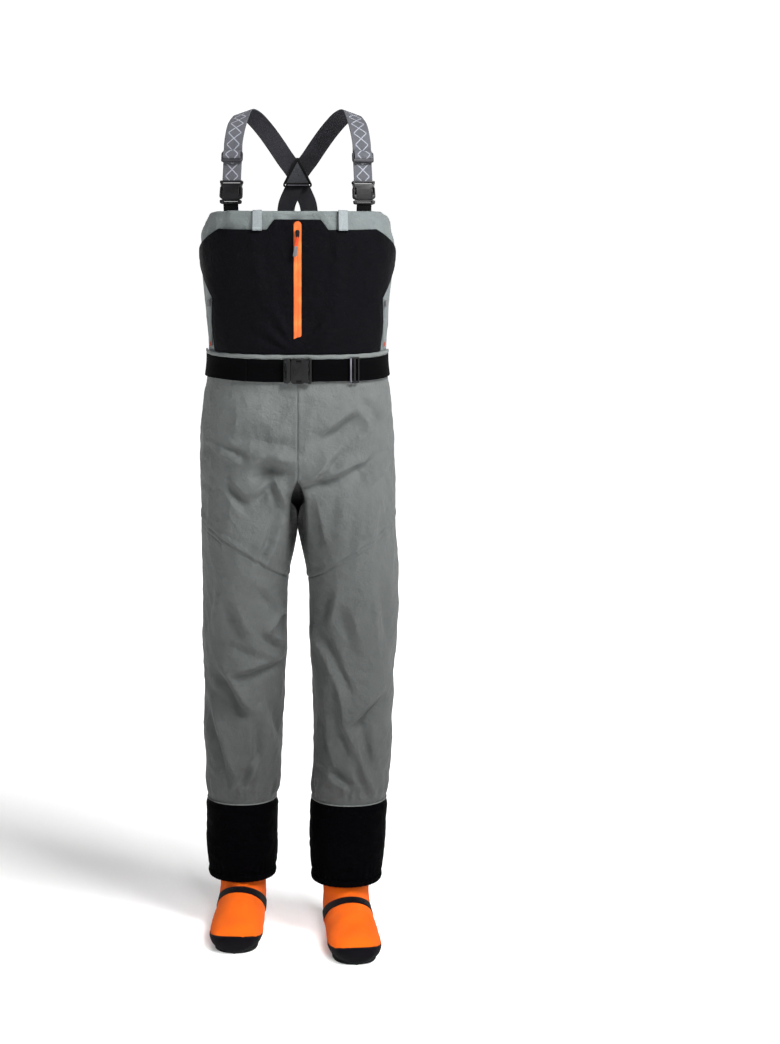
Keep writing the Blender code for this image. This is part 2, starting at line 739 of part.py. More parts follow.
def make_belt():
    start = turn_at(BUCKLE_HALF + 0.0030, BELT_Z)
    end = 360.0 + turn_at(BELT_END[0] - 0.0015, BELT_Z)
    sheet("belt_webbing", belt_rows(spread(start, end, 42)), "webbing_black", WEBBING)
    turns = spread(turn_at(BELT_END[0], BELT_Z), turn_at(BELT_END[1], BELT_Z), 4)
    sheet("belt_end", belt_rows(turns), "webbing_black", WEBBING)
    frame = frame_at(Vector((0.0, BUCKLE_FRONT_Y, BELT_Z)), Vector((1, 0, 0)), Vector((0, -1, 0)))
    make_buckle("belt", "", frame, BUCKLE_HALF, 0.0215, 0.0045)
    keeper_turn = turn_at(KEEPER_X, BELT_Z)
    across = torso_point(keeper_turn + 2, BELT_Z) - torso_point(keeper_turn - 2, BELT_Z)
    middle = torso_point(keeper_turn, BELT_Z, BELT_LIFT + KEEPER_LIFT)
    place = frame_at(middle, across, torso_normal(keeper_turn, BELT_Z))
    holes = [rounded(0.0020, 0.0190, 0.0008, (-0.0040, 0)), rounded(0.0020, 0.0190, 0.0008, (0.0040, 0))]
    plate("belt_keeper", [rounded(0.0085, 0.0220, 0.002), *holes], 0.0022, place, "buckle_black")
    for side in SIDE_SIGN:
        turn = SIDE_SIGN[side] * BELT_LOOP_TURN
        rows = []
        for height, lift in BELT_LOOP_PATH:
            rows.append([torso_point(turn + step, height, lift) for step in (-3.2, 0.0, 3.2)])
        sheet(f"belt_loop_{side}", rows, "shell_grey", 0.0014)


def make_buckle(prefix, suffix, frame, half_length, half_width, half_depth):
    """Side-release buckle: socket at +x, plug at -x, two prongs that pivot on the plug."""
    mouth = -half_length * 0.22
    socket_length = half_length - mouth
    socket = box(
        f"{prefix}_buckle_socket{suffix}", (socket_length, 2 * half_width, 2 * half_depth), frame,
        ((half_length + mouth) / 2, 0, 0), "buckle_black",
    )
    cavity_end = half_length * 0.62
    cut_box(
        socket, (cavity_end - mouth + 0.002, 2 * half_width + 0.002, 2 * half_depth - 0.0042), frame,
        ((cavity_end + mouth - 0.002) / 2, 0, 0),
    )
    slot = (half_length * 0.12, 2 * half_width - 0.005, 2 * half_depth + 0.002)
    cut_box(socket, slot, frame, (half_length * 0.82, 0, 0))
    plug_end = mouth - TOUCH
    plug = box(
        f"{prefix}_buckle_plug{suffix}", (half_length + plug_end, 2 * half_width, 2 * half_depth), frame,
        ((plug_end - half_length) / 2, 0, 0), "buckle_black",
    )
    cut_box(plug, slot, frame, (-half_length * 0.80, 0, 0))
    prong_z = 2 * half_depth - 0.0042 - 0.0016
    root = plug_end + 0.0008
    tip = cavity_end - 0.0016
    arm = half_width * 0.62
    shape = [
        (root, arm - 0.0020), (tip - 0.001, arm - 0.0020), (tip, arm), (tip - 0.003, half_width - 0.0012),
        (tip - 0.0085, half_width - 0.0006), (tip - 0.0090, arm + 0.0018), (root, arm + 0.0018),
    ]
    plate(f"{prefix}_prong_a{suffix}", [shape], prong_z, frame, "buckle_black")
    plate(f"{prefix}_prong_b{suffix}", [[(x, -y) for x, y in shape]], prong_z, frame, "buckle_black")


# ---------------------------------------------------------------- suspenders

STRAP_X = 0.112  # where a strap meets the bib's top edge
STRAP_FOOT = (STRAP_X, -0.0855, 1.3000)
STRAP_BEND = (0.1068, -0.0580, 1.4120)  # straight up to here
STRAP_CREST = (
    ((0.1025, -0.0400, 1.4345), (0.15, -0.72, 0.68)),
    ((0.0965, -0.0120, 1.4500), (0.28, -0.40, 0.87)),
    ((0.0895, 0.0180, 1.4575), (0.36, 0.02, 0.93)),
    ((0.0745, 0.0460, 1.4480), (0.30, 0.50, 0.80)),
    ((0.0550, 0.0690, 1.4255), (0.15, 0.80, 0.58)),
    ((0.0370, 0.0835, 1.4000), (0.05, 0.93, 0.38)),
    ((0.0215, 0.0930, 1.3765), (0.00, 0.96, 0.28)),
)
STRAP_BUCKLE_Z = 1.3281
STRAP_BUCKLE_HALF = 0.0195
ADJUSTER_Z = 1.3855


def mirrored(values, side):
    return Vector((values[0] * SIDE_SIGN[side], values[1], values[2]))


def strap_line(side, height, lift=0.0):
    """Point of the straight part of a suspender at a height."""
    foot, bend = mirrored(STRAP_FOOT, side), mirrored(STRAP_BEND, side)
    point = foot.lerp(bend, (height - foot.z) / (bend.z - foot.z))
    return point + strap_normal(side) * lift


def strap_direction(side):
    return (mirrored(STRAP_BEND, side) - mirrored(STRAP_FOOT, side)).normalized()


def strap_normal(side):
    direction = strap_direction(side)
    outward = mirrored((0.28, -1.0, 0.0), side)
    return (outward - direction * outward.dot(direction)).normalized()


def make_suspender(side):
    normal, direction = strap_normal(side), strap_direction(side)
    frame = frame_at(strap_line(side, STRAP_BUCKLE_Z), direction, normal)
    make_buckle("strap", f"_{side}", frame, STRAP_BUCKLE_HALF, 0.0195, 0.0042)
    reach = direction * (STRAP_BUCKLE_HALF + TOUCH)
    top = frame.translation + reach
    bottom = frame.translation - reach
    split = strap_line(side, 1.3745)
    end = [(top, normal), (top.lerp(split, 0.5), normal), (split - direction * 0.0006, normal)]
    ribbon(f"strap_end_{side}", end, STRAP_WIDTH, WEBBING, "webbing_grey")
    path = [(split, normal), (strap_line(side, 1.3950), normal), (strap_line(side, 1.4120), normal)]
    path += [(mirrored(p, side), mirrored(n, side).normalized()) for p, n in STRAP_CREST]
    ribbon(f"strap_web_{side}", path, STRAP_WIDTH, WEBBING, "webbing_grey")
    adjuster = frame_at(strap_line(side, ADJUSTER_Z, 0.0028), direction, normal)
    holes = [rounded(0.0018, 0.0165, 0.0008, (x, 0)) for x in (-0.0048, 0.0048)]
    outlines = [rounded(0.0095, 0.0188, 0.002), *holes]
    plate(f"strap_adjuster_{side}", outlines, 0.0026, adjuster, "buckle_black")
    make_strap_tab(side, bottom, normal)
    make_strap_tail(side)


def make_strap_tab(side, top, normal):
    """Short webbing that carries the buckle's plug, sewn inside the bib's top edge."""
    path = [(top - strap_direction(side) * 0.0008, normal)]
    for height, inside in ((1.2950, 0.0092), (1.2780, 0.0080), (1.2640, 0.0066)):
        turn = SIDE_SIGN[side] * turn_at(STRAP_X + 0.006, height)
        path.append((torso_point(turn, height, -FABRIC - inside), normal))
    ribbon(f"strap_tab_{side}", path, STRAP_WIDTH * 0.8, WEBBING, "webbing_black")


def make_strap_tail(side):
    """Strap from the cross piece down to the outside of the bib's back."""
    sign = SIDE_SIGN[side]
    behind = 0.0026 if side == "left" else 0.0
    out = Vector((0.0, 1.0, 0.15)).normalized()
    path = [
        (Vector((sign * 0.0140, 0.0985 + behind, 1.3240)), out),
        (Vector((sign * 0.0180, 0.1080 + behind, 1.2980)), out),
    ]
    for height, x in ((1.2720, 0.0215), (1.2560, 0.0250), (1.2400, 0.0285)):
        turn = 180.0 - sign * turn_at(x, height)
        path.append((torso_point(turn, height, 0.0030 + behind), torso_normal(turn, height)))
    ribbon(f"strap_tail_{side}", path, STRAP_WIDTH * 0.94, WEBBING, "webbing_grey")


def make_cross_piece():
    """Triangular piece at the back that gathers the two straps and the two tails."""
    tilt = Vector((0.0, -0.20, 1.0))
    frame = frame_at(Vector((0.0, 0.0905, 1.3500)), tilt, Vector((0, 1, 0)))
    outer = [
        (0.0290, 0.0030), (0.0290, -0.0030), (-0.0175, -0.0250),
        (-0.0230, -0.0230), (-0.0230, 0.0230), (-0.0175, 0.0250),
    ]
    inner = [(0.0170, 0.0000), (-0.0135, -0.0150), (-0.0135, 0.0150)]
    plate("cross_piece", [outer, inner], 0.0030, frame, "buckle_black")


def main():
    clear_scene()
    collection(COLLECTION)
    collection(CUTTERS)
    for name, (colour, roughness) in COLOURS.items():
        principled(name, colour, roughness)
    make_bib()
    for side in SIDE_SIGN:
        upper_leg(side)
        lower_leg(side)
        make_guard(side)
        make_bootie(side)
        make_sole(side)
        make_toe_cap(side)
        make_instep_band(side)
        make_side_zip(side)
        make_suspender(side)
        make_bib_loop(side)
    make_pocket()
    make_chest_zip()
    make_belt()
    make_cross_piece()


main()
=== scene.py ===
"""Looks of the stocking-foot chest waders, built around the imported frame.

Metres, +Z up. The wearer faces -Y, so the wearer's right side is at -X.
"""

from math import cos, pi, radians, sin

import bpy
import numpy as np
from mathutils import Matrix, Vector, noise


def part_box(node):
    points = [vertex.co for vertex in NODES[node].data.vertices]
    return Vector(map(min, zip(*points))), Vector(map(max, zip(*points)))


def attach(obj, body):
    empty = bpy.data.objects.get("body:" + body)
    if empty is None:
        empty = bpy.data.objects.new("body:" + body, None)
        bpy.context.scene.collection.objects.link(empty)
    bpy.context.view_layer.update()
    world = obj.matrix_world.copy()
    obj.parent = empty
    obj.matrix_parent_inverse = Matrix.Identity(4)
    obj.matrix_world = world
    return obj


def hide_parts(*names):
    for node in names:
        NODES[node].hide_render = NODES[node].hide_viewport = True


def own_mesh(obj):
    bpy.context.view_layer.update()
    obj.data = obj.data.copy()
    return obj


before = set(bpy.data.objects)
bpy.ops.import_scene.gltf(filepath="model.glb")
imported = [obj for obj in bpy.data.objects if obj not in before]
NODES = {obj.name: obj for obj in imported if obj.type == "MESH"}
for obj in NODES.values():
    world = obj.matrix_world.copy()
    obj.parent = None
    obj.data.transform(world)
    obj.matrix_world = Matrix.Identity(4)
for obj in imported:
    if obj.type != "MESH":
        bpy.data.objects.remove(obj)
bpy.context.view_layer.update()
SIDES = {"right": -1.0, "left": 1.0}
ROOT = "shell"

# ---------------------------------------------------------------- surfaces, as in the CAD model

BELT_Z = 1.033
CROTCH_Z, CROTCH_LOW = 0.831, 0.738
KNEE_OUTER, KNEE_INNER = 0.768, 0.660
LEG_POWER = 2.15
GUARD_HEM = 0.012
SOLE = 0.0034

TORSO = np.array((
    (0.831, 0.1670, 0.1180, 0.128, 2.35), (0.900, 0.1666, 0.1205, 0.129, 2.35),
    (0.954, 0.1637, 0.1190, 0.125, 2.40), (0.996, 0.1574, 0.1150, 0.119, 2.45),
    (1.033, 0.1525, 0.1125, 0.114, 2.50), (1.058, 0.1520, 0.1135, 0.113, 2.55),
    (1.100, 0.1540, 0.1145, 0.113, 2.60), (1.141, 0.1557, 0.1150, 0.114, 2.65),
    (1.182, 0.1590, 0.1155, 0.116, 2.70), (1.220, 0.1625, 0.1160, 0.117, 2.80),
    (1.250, 0.1605, 0.1163, 0.116, 2.90), (1.275, 0.1535, 0.1166, 0.113, 2.95),
    (1.300, 0.1430, 0.1168, 0.110, 3.00),
))
LEGS = {
    "right": np.array((
        (0.800, -0.0835, 0.004, 0.0838, 0.117),
        (0.720, -0.0850, 0.014, 0.0828, 0.107), (0.650, -0.0915, 0.024, 0.0745, 0.097),
        (0.560, -0.0920, 0.038, 0.0748, 0.084), (0.470, -0.0930, 0.049, 0.0715, 0.079),
        (0.385, -0.0975, 0.061, 0.0695, 0.075), (0.300, -0.0975, 0.072, 0.0670, 0.072),
        (0.240, -0.0995, 0.080, 0.0610, 0.066), (0.165, -0.0985, 0.096, 0.0460, 0.052),
    ))[::-1],
    "left": np.array((
        (0.800, 0.0838, 0.004, 0.0838, 0.117),
        (0.720, 0.0880, 0.008, 0.0838, 0.107), (0.650, 0.0985, 0.011, 0.0770, 0.097),
        (0.560, 0.0980, 0.014, 0.0765, 0.084), (0.470, 0.0980, 0.016, 0.0710, 0.079),
        (0.385, 0.0980, 0.020, 0.0675, 0.075), (0.300, 0.0940, 0.025, 0.0680, 0.072),
        (0.250, 0.0910, 0.028, 0.0655, 0.069), (0.165, 0.0870, 0.036, 0.0460, 0.052),
    ))[::-1],
}
GUARDS = {
    "right": ((0.241, -0.0997, 0.0800, 0.0640, 0.069), (0.094, -0.1000, 0.0940, 0.0585, 0.067)),
    "left": ((0.254, 0.0912, 0.0280, 0.0688, 0.072), (0.103, 0.0870, 0.0340, 0.0605, 0.068)),
}
FEET = {"right": (-0.0985, 0.100, 4.0), "left": (0.0865, 0.038, 5.0)}
FOOT = np.array((
    (0.000, 0.1640, 0, 0.0450, 0.0510), (0.000, 0.1300, 2, 0.0415, 0.0490),
    (0.001, 0.0960, 10, 0.0400, 0.0550), (0.001, 0.0643, 28, 0.0405, 0.0690),
    (0.010, 0.0465, 35, 0.0415, 0.0735), (0.035, 0.0385, 45, 0.0425, 0.0633),
    (0.067, 0.0353, 57, 0.0435, 0.0493), (0.102, 0.0320, 69, 0.0450, 0.0386),
    (0.143, 0.0270, 84, 0.0460, 0.0292), (0.176, 0.0240, 90, 0.0405, 0.0230),
    (0.194, 0.0215, 90, 0.0270, 0.0150),
))
# forward, height, half width and half height of the front of a foot
TOE = np.array((
    (0.110, 0.0312, 0.0452, 0.0365), (0.143, 0.0270, 0.0460, 0.0292), (0.160, 0.0254, 0.0444, 0.0262),
    (0.176, 0.0240, 0.0405, 0.0230), (0.187, 0.0224, 0.0340, 0.0187), (0.194, 0.0215, 0.0270, 0.0150),
    (0.1965, 0.0215, 0.0180, 0.0100), (0.1980, 0.0215, 0.0040, 0.0020),
))
TOE_CENTRE = 0.150
SOLE_HALF = ((-0.0500, 0.0), (-0.0460, 0.018), (-0.0300, 0.030), (0.0, 0.032), (0.040, 0.029), (0.080, 0.031),
             (0.120, 0.0375), (0.150, 0.0375), (0.170, 0.031), (0.182, 0.018), (0.1865, 0.0))
STRAP_WIDTH = 0.032
WEFT_PITCH, DIAMOND_HALF_PITCH = 0.0011, 0.011
FOLD_GAIN = 2.1


def hermite(a, b, slope_a, slope_b, t):
    return (a * (2 * t**3 - 3 * t**2 + 1) + slope_a * (t**3 - 2 * t**2 + t)
            + b * (3 * t**2 - 2 * t**3) + slope_b * (t**3 - t**2))


def blend_rows(p0, p1, p2, p3, t):
    """Point on a smooth curve between the second and third of four points."""
    return (p1 * 2 + (p2 - p0) * t + (p0 * 2 - p1 * 5 + p2 * 4 - p3) * t**2
            + (p1 * 3 - p0 - p2 * 3 + p3) * t**3) * 0.5


def smooth(value, low, high):
    t = np.clip((value - low) / (high - low), 0, 1)
    return t * t * (3 - 2 * t)


def bell(value, width):
    return np.exp(-((value / width) ** 2))


def station(table, height):
    """Columns of a table of stations at heights, on a smooth curve through its rows."""
    z = table[:, 0]
    height = np.clip(height, z[0], z[-1])
    i = np.clip(np.searchsorted(z, height, side="right") - 1, 0, len(z) - 2)
    before, after = np.maximum(i - 1, 0), np.minimum(i + 2, len(z) - 1)
    span = z[i + 1] - z[i]
    columns = []
    for v in table.T[1:]:
        slope_a = (v[i + 1] - v[before]) / (z[i + 1] - z[before]) * span
        slope_b = (v[after] - v[i]) / (z[after] - z[i]) * span
        columns.append(hermite(v[i], v[i + 1], slope_a, slope_b, (height - z[i]) / span))
    return columns


def ring(turn, power, even=True):
    """Unit superellipse at turns in degrees from the front, towards +X. even spreads the points."""
    s, c = np.sin(np.radians(turn)), np.cos(np.radians(turn))
    if even:
        reach = (np.abs(s) ** power + np.abs(c) ** power) ** (-1 / power)
        return reach * s, -reach * c
    grow = 2.0 / power
    return np.abs(s) ** grow * np.sign(s), -np.abs(c) ** grow * np.sign(c)


def torso(turn, z, lift=0.0, even=True):
    turn, z = np.broadcast_arrays(np.asarray(turn, float), np.asarray(z, float))

    def at(turn, z):
        half, front, back, power = station(TORSO, z)
        x, y = ring(turn, power, even)
        return np.stack((half * x, np.where(y < 0, front, back) * y, z), -1)

    points = at(turn, z)
    if np.any(lift):
        normal = np.cross(at(turn + 0.5, z) - at(turn - 0.5, z), at(turn, z + 0.002) - at(turn, z - 0.002))
        normal /= np.linalg.norm(normal, axis=-1, keepdims=True)
        points = points + normal * np.asarray(lift)[..., None]
    return points


def torso_normal(turn, z):
    return Vector(torso(turn, z, 1.0, False) - torso(turn, z, 0.0, False)).normalized()


def on_torso(turn, z, lift):
    """Point off the torso's surface, and the surface's normal there."""
    return Vector(torso(turn, z, lift, False)), torso_normal(turn, z)


def turn_at(x, z):
    half, _, _, power = station(TORSO, np.asarray(z, float))
    share = np.minimum(1.0, np.abs(x) / half) ** (power / 2.0)
    return np.degrees(np.arcsin(share)) * np.sign(x)


def oval(side, turn, z, section, lift=0.0):
    """Points around a leg's section, which is its centre's x and y, half width and half depth."""
    x0, y0, half, depth = section
    x, y = ring(turn, LEG_POWER)
    return np.stack((x0 + SIDES[side] * (half + lift) * x, y0 + (depth + lift) * y, z + 0 * x), -1)


def leg(side, turn, z):
    return oval(side, turn, z, station(LEGS[side], z))


# ---------------------------------------------------------------- meshes and pieces

def link(name, data):
    obj = bpy.data.objects.new(name, data)
    bpy.context.scene.collection.objects.link(obj)
    return obj


def read(items, attribute, columns, kind=float):
    """Array of one attribute of a mesh's elements."""
    values = np.zeros(len(items) * columns, kind)
    items.foreach_get(attribute, values)
    return values.reshape(-1, columns)


def set_uv(mesh, uv):
    layer = mesh.uv_layers.new(name="UVMap")
    layer.data.foreach_set("uv", np.asarray(uv, np.float32).ravel())


def lengths(line):
    """Running length along a line of points."""
    return np.concatenate(([0.0], np.cumsum(np.linalg.norm(np.diff(line, axis=0), axis=1))))


def grid(name, points, closed=False, flip=False):
    """Mesh through rows of points, top row first, left to right from outside. UVs are in metres."""
    rows, count = points.shape[:2]
    u, v = lengths(points[rows // 2]), lengths(points[:, count // 2])
    if closed:
        u = np.append(u, u[-1] + u[1])
    r, c = (index.ravel() for index in np.indices((rows - 1, count if closed else count - 1)))
    corners = [(r, c), (r + 1, c), (r + 1, c + 1), (r, c + 1)]
    if flip:
        corners.reverse()
    faces = np.stack([a * count + b % count for a, b in corners], 1)
    mesh = bpy.data.meshes.new(name)
    mesh.from_pydata(points.reshape(-1, 3).tolist(), [], faces.tolist())
    set_uv(mesh, np.stack([np.stack((u[b], v[a]), 1) for a, b in corners], 1))
    mesh.shade_smooth()
    return mesh


def grid_normals(points, closed=False):
    along = np.roll(points, -1, 1) - np.roll(points, 1, 1) if closed else np.gradient(points, axis=1)
    normal = np.cross(along, -np.gradient(points, axis=0))
    return normal / np.maximum(np.linalg.norm(normal, axis=-1, keepdims=True), 1e-12)


def solidify(obj, thickness, offset=-1.0, inner_slot=0):
    modifier = obj.modifiers.new("thickness", "SOLIDIFY")
    modifier.thickness = thickness
    modifier.offset = offset
    modifier.material_offset = inner_slot
    modifier.use_even_offset = False
    return obj


def dress(obj, materials, slot, body, *replaced):
    """Gives a piece its materials and its body, and hides the CAD nodes that it stands for. Its finish's slot is not
    used.
    """
    for material in materials if isinstance(materials, list) else [materials]:
        obj.data.materials.append(material)
    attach(obj, body)
    if replaced:
        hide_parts(*replaced)
    return obj


def panel(name, points, thickness, material, slot, body, *replaced, closed=False, flip=False):
    """Piece of sheet material whose outer side goes through rows of points."""
    obj = solidify(link(name, grid(name, points, closed, flip)), thickness)
    return dress(obj, material, slot, body, *replaced)


def apply(obj):
    """Writes a piece's modifiers into its mesh."""
    graph = bpy.context.evaluated_depsgraph_get()
    mesh = bpy.data.meshes.new_from_object(obj.evaluated_get(graph))
    obj.modifiers.clear()
    obj.data = mesh
    return obj


def bake(obj):
    """The same for a piece that rides already, so that it can be squashed."""
    obj.parent = None
    obj.matrix_world = Matrix.Identity(4)
    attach(apply(obj), ROOT)
    return obj


def repaint(node, material):
    NODES[node].data.materials.clear()
    NODES[node].data.materials.append(material)


def frame_at(origin, along, normal):
    x = Vector(along).normalized()
    z = Vector(normal)
    z = (z - x * z.dot(x)).normalized()
    matrix = Matrix((x, z.cross(x), z)).transposed().to_4x4()
    matrix.translation = Vector(origin)
    return matrix


def rounded(half_x, half_y, radius, x=0.0, y=0.0, steps=5):
    """Outline of a rectangle with rounded corners, about a centre."""
    points = []
    for quarter, (sx, sy) in enumerate(((1, 1), (-1, 1), (-1, -1), (1, -1))):
        for i in range(steps + 1):
            angle = radians(90 * (quarter + i / steps))
            points.append((x + sx * (half_x - radius) + radius * cos(angle),
                           y + sy * (half_y - radius) + radius * sin(angle)))
    return points


def mirror_y(points):
    """Outline from its upper half, given from one end to the other."""
    return points + [(x, -y) for x, y in points[::-1]]


def moulded(name, layers, place, material, slot, body, *replaced):
    """Moulded piece: filled outlines, each with its low and high z and the radius of its edges."""
    graph = bpy.context.evaluated_depsgraph_get()
    verts, faces = [], []
    for outlines, low, high, edge in layers:
        curve = bpy.data.curves.new(name, "CURVE")
        curve.dimensions = "2D"
        curve.fill_mode = "BOTH"
        curve.extrude = (high - low) / 2 - edge
        curve.bevel_depth = edge
        curve.bevel_resolution = 2
        curve.offset = -edge
        for outline in outlines:
            spline = curve.splines.new("POLY")
            spline.points.add(len(outline) - 1)
            for point, (x, y) in zip(spline.points, outline):
                point.co = (x, y, 0.0, 1.0)
            spline.use_cyclic_u = True
        held = link(name, curve)
        graph.update()
        mesh = bpy.data.meshes.new_from_object(held.evaluated_get(graph))
        shift = len(verts)
        verts += [place @ (v.co + Vector((0, 0, (low + high) / 2))) for v in mesh.vertices]
        faces += [[shift + i for i in face.vertices] for face in mesh.polygons]
        bpy.data.objects.remove(held)
    mesh = bpy.data.meshes.new(name)
    mesh.from_pydata(verts, [], faces)
    obj = link(name, mesh)
    obj.modifiers.new("joined caps", "WELD").merge_threshold = 1e-5
    apply(obj)
    obj.data.shade_smooth()
    obj.data.set_sharp_from_angle(angle=radians(35))
    return dress(obj, material, slot, body, *replaced)


# ---------------------------------------------------------------- materials

def srgb(*channels):
    """Linear colour of an 8-bit one."""
    return tuple(((c / 255 + 0.055) / 1.055) ** 2.4 if c > 10 else c / 255 / 12.92 for c in channels)


def scaled(colour, factor):
    return tuple(c * factor for c in colour)


class Graph:
    """Short names for building a material's nodes."""

    def __init__(self, name, roughness):
        self.material = bpy.data.materials.new(name)
        self.material.use_nodes = True
        self.tree = self.material.node_tree
        self.shader = self.tree.nodes["Principled BSDF"]
        self.shader.inputs["Roughness"].default_value = roughness
        self.coord = self.node("TexCoord").outputs
        self.where = self.coord["Object"]

    def node(self, kind, *inputs, **settings):
        made = self.tree.nodes.new("ShaderNode" + kind)
        for key, value in settings.items():
            setattr(made, key, value)
        for socket, value in zip(made.inputs, inputs):
            self.put(socket, value)
        return made

    def put(self, socket, value):
        if isinstance(value, bpy.types.NodeSocket):
            self.tree.links.new(value, socket)
        else:
            socket.default_value = value

    def split(self, vector):
        return self.node("SeparateXYZ", vector).outputs

    def math(self, operation, *inputs):
        return self.node("Math", *inputs, operation=operation).outputs[0]

    def times(self, product, *factors):
        for factor in factors:
            product = self.math("MULTIPLY", product, factor)
        return product

    def waves(self, *axes):
        """Product of sine waves, each along a coordinate with its pitch."""
        return self.times(*[self.math("SINE", self.times(axis, 2 * pi / pitch)) for axis, pitch in axes])

    def noise(self, scale, detail=3.0, rough=0.5, distortion=0.0):
        made = self.node("TexNoise")
        self.put(made.inputs["Vector"], self.where)
        for key, value in (("Scale", scale), ("Detail", detail), ("Roughness", rough), ("Distortion", distortion)):
            made.inputs[key].default_value = value
        return made.outputs["Fac"]

    def mix(self, factor, a, b):
        made = self.node("Mix", data_type="RGBA")
        self.put(made.inputs["Factor"], factor)
        for index, value in ((6, a), (7, b)):
            self.put(made.inputs[index], (*value, 1.0) if isinstance(value, tuple) else value)
        return made.outputs[2]

    def remap(self, value, low, high, to_low, to_high):
        return self.node("MapRange", value, low, high, to_low, to_high).outputs[0]

    def vary(self, pattern, colour, low, high):
        """A colour between two of its brightnesses, by a noise pattern."""
        return self.mix(self.remap(pattern, 0.3, 0.7, 0, 1), scaled(colour, low), scaled(colour, high))

    def bump(self, height, distance, strength=1.0, under=None):
        made = self.node("Bump")
        self.put(made.inputs["Height"], height)
        made.inputs["Distance"].default_value = distance
        made.inputs["Strength"].default_value = strength
        if under:
            self.put(made.inputs["Normal"], under)
        return made.outputs["Normal"]

    def done(self, colour, rough=None, normal=None, **fixed):
        for socket, value in (("Base Color", colour), ("Roughness", rough), ("Normal", normal)):
            if value:
                self.put(self.shader.inputs[socket], value)
        for key, value in fixed.items():
            self.shader.inputs[key.replace("_", " ")].default_value = value
        return self.material


def cloth(name, colour, pitch=0.0009, roughness=0.62, sheen=0.03, crinkle=0.0050, gloss=0.30, painted_shade=None,
          has_uv=True):
    """Woven cloth: plain weave, fibre speckle, patches of wear and fine creases.

    With (low z, high z, share) given, the colour gets painted shade towards the floor, where less light reaches: it is
    multiplied by the share below and by one above, and painted shade is laid between the thighs.
    """
    g = Graph(name, roughness)
    split = g.split(g.coord["UV"] if has_uv else g.where)
    weave = g.waves((split[0], pitch), (split[1 if has_uv else 2], pitch))
    patches = g.noise(14.0, 5.0, 0.6)
    base = g.vary(patches, colour, 0.9, 1.1)
    base = g.mix(g.remap(g.noise(1400.0, 2.0), 0.35, 0.65, 0.0, 0.30), base, scaled(colour, 0.72))
    # painted shade: the colour darkens towards the floor, where less light reaches
    if painted_shade:
        low, high, share = painted_shade
        x, y, z = g.split(g.where)
        base = g.mix(g.remap(z, low, high, 1.0, 0.0), base, scaled(colour, share))
        # little light gets in between the thighs
        dark = g.times(g.remap(g.math("ABSOLUTE", x), 0.009, 0.021, 1.0, 0.0), g.remap(z, 0.66, 0.73, 0.0, 1.0),
                       g.remap(z, 0.815, 0.850, 1.0, 0.0), g.remap(y, 0.010, 0.045, 1.0, 0.0), 0.92)
        base = g.mix(dark, base, scaled(colour, 0.05))
    rough = g.remap(patches, 0.3, 0.7, roughness - 0.07, roughness + 0.07)
    ridges = g.math("ABSOLUTE", g.math("SUBTRACT", g.noise(120.0, distortion=1.2), 0.5))
    normal = g.bump(g.noise(55.0, 6.0, 0.62), crinkle)
    normal = g.bump(ridges, crinkle * 0.55, 0.8, normal)
    normal = g.bump(weave, 0.00018, 0.6, normal)
    return g.done(base, rough, normal, Sheen_Weight=sheen, Sheen_Roughness=0.5, Specular_IOR_Level=gloss)


def webbing(name, colour, ribs=0.0022, printed=None):
    """Woven webbing: ribs along it, weft across it, and optionally a printed row of open diamonds."""
    g = Graph(name, 0.75)
    across, along, _ = g.split(g.coord["UV"])
    rib = g.math("ABSOLUTE", g.math("SINE", g.times(across, pi / ribs)))
    height = g.math("ADD", rib, g.times(g.waves((along, WEFT_PITCH)), 0.35))
    fibres = g.noise(900.0)
    base = g.vary(fibres, colour, 0.82, 1.18)
    base = g.mix(g.remap(g.noise(25.0, 4.0), 0.5, 0.75, 0, 0.35), base, scaled(colour, 1.5))
    if printed:
        off_centre = g.math("ABSOLUTE", g.math("SUBTRACT", across, STRAP_WIDTH / 2))
        off_line = g.math("SUBTRACT", off_centre, g.math("PINGPONG", along, DIAMOND_HALF_PITCH))
        ink = g.times(g.math("LESS_THAN", g.math("ABSOLUTE", off_line), 0.0012),
                      g.math("LESS_THAN", off_centre, STRAP_WIDTH * 0.34), g.remap(fibres, 0.3, 0.6, 0.6, 1.0))
        base = g.mix(ink, base, printed)
    rough = g.remap(fibres, 0.3, 0.7, 0.66, 0.84)
    return g.done(base, rough, g.bump(height, 0.00025, 0.8), Specular_IOR_Level=0.03)


def neoprene(name, colour):
    """Neoprene under knitted jersey: rows of small loops, soft dimples."""
    g = Graph(name, 0.8)
    u, v, _ = g.split(g.coord["UV"])
    loops = g.waves((u, 0.0014), (v, 0.0011))
    patches = g.noise(30.0, 4.0)
    base = g.vary(patches, colour, 0.94, 1.06)
    base = g.mix(g.remap(loops, -1, 1, 0.0, 0.16), base, scaled(colour, 0.6))
    normal = g.bump(loops, 0.0002, 0.6, g.bump(patches, 0.0016))
    return g.done(base, g.remap(patches, 0.3, 0.7, 0.74, 0.88), normal, Sheen_Weight=0.02,
                  Sheen_Roughness=0.6, Specular_IOR_Level=0.03)


def plastic(name, colour, roughness, metallic=0.0, grain=260.0):
    """Moulded plastic or coated metal: fine spark-eroded grain, handling marks."""
    g = Graph(name, roughness)
    marks = g.noise(40.0, 5.0)
    base = g.mix(g.remap(marks, 0.45, 0.7, 0, 1), colour, scaled(colour, 1.7))
    rough = g.remap(marks, 0.3, 0.7, roughness - 0.08, roughness + 0.12)
    return g.done(base, rough, g.bump(g.noise(grain, 4.0), 0.00012, 0.6), Metallic=metallic,
                  Specular_IOR_Level=0.25)
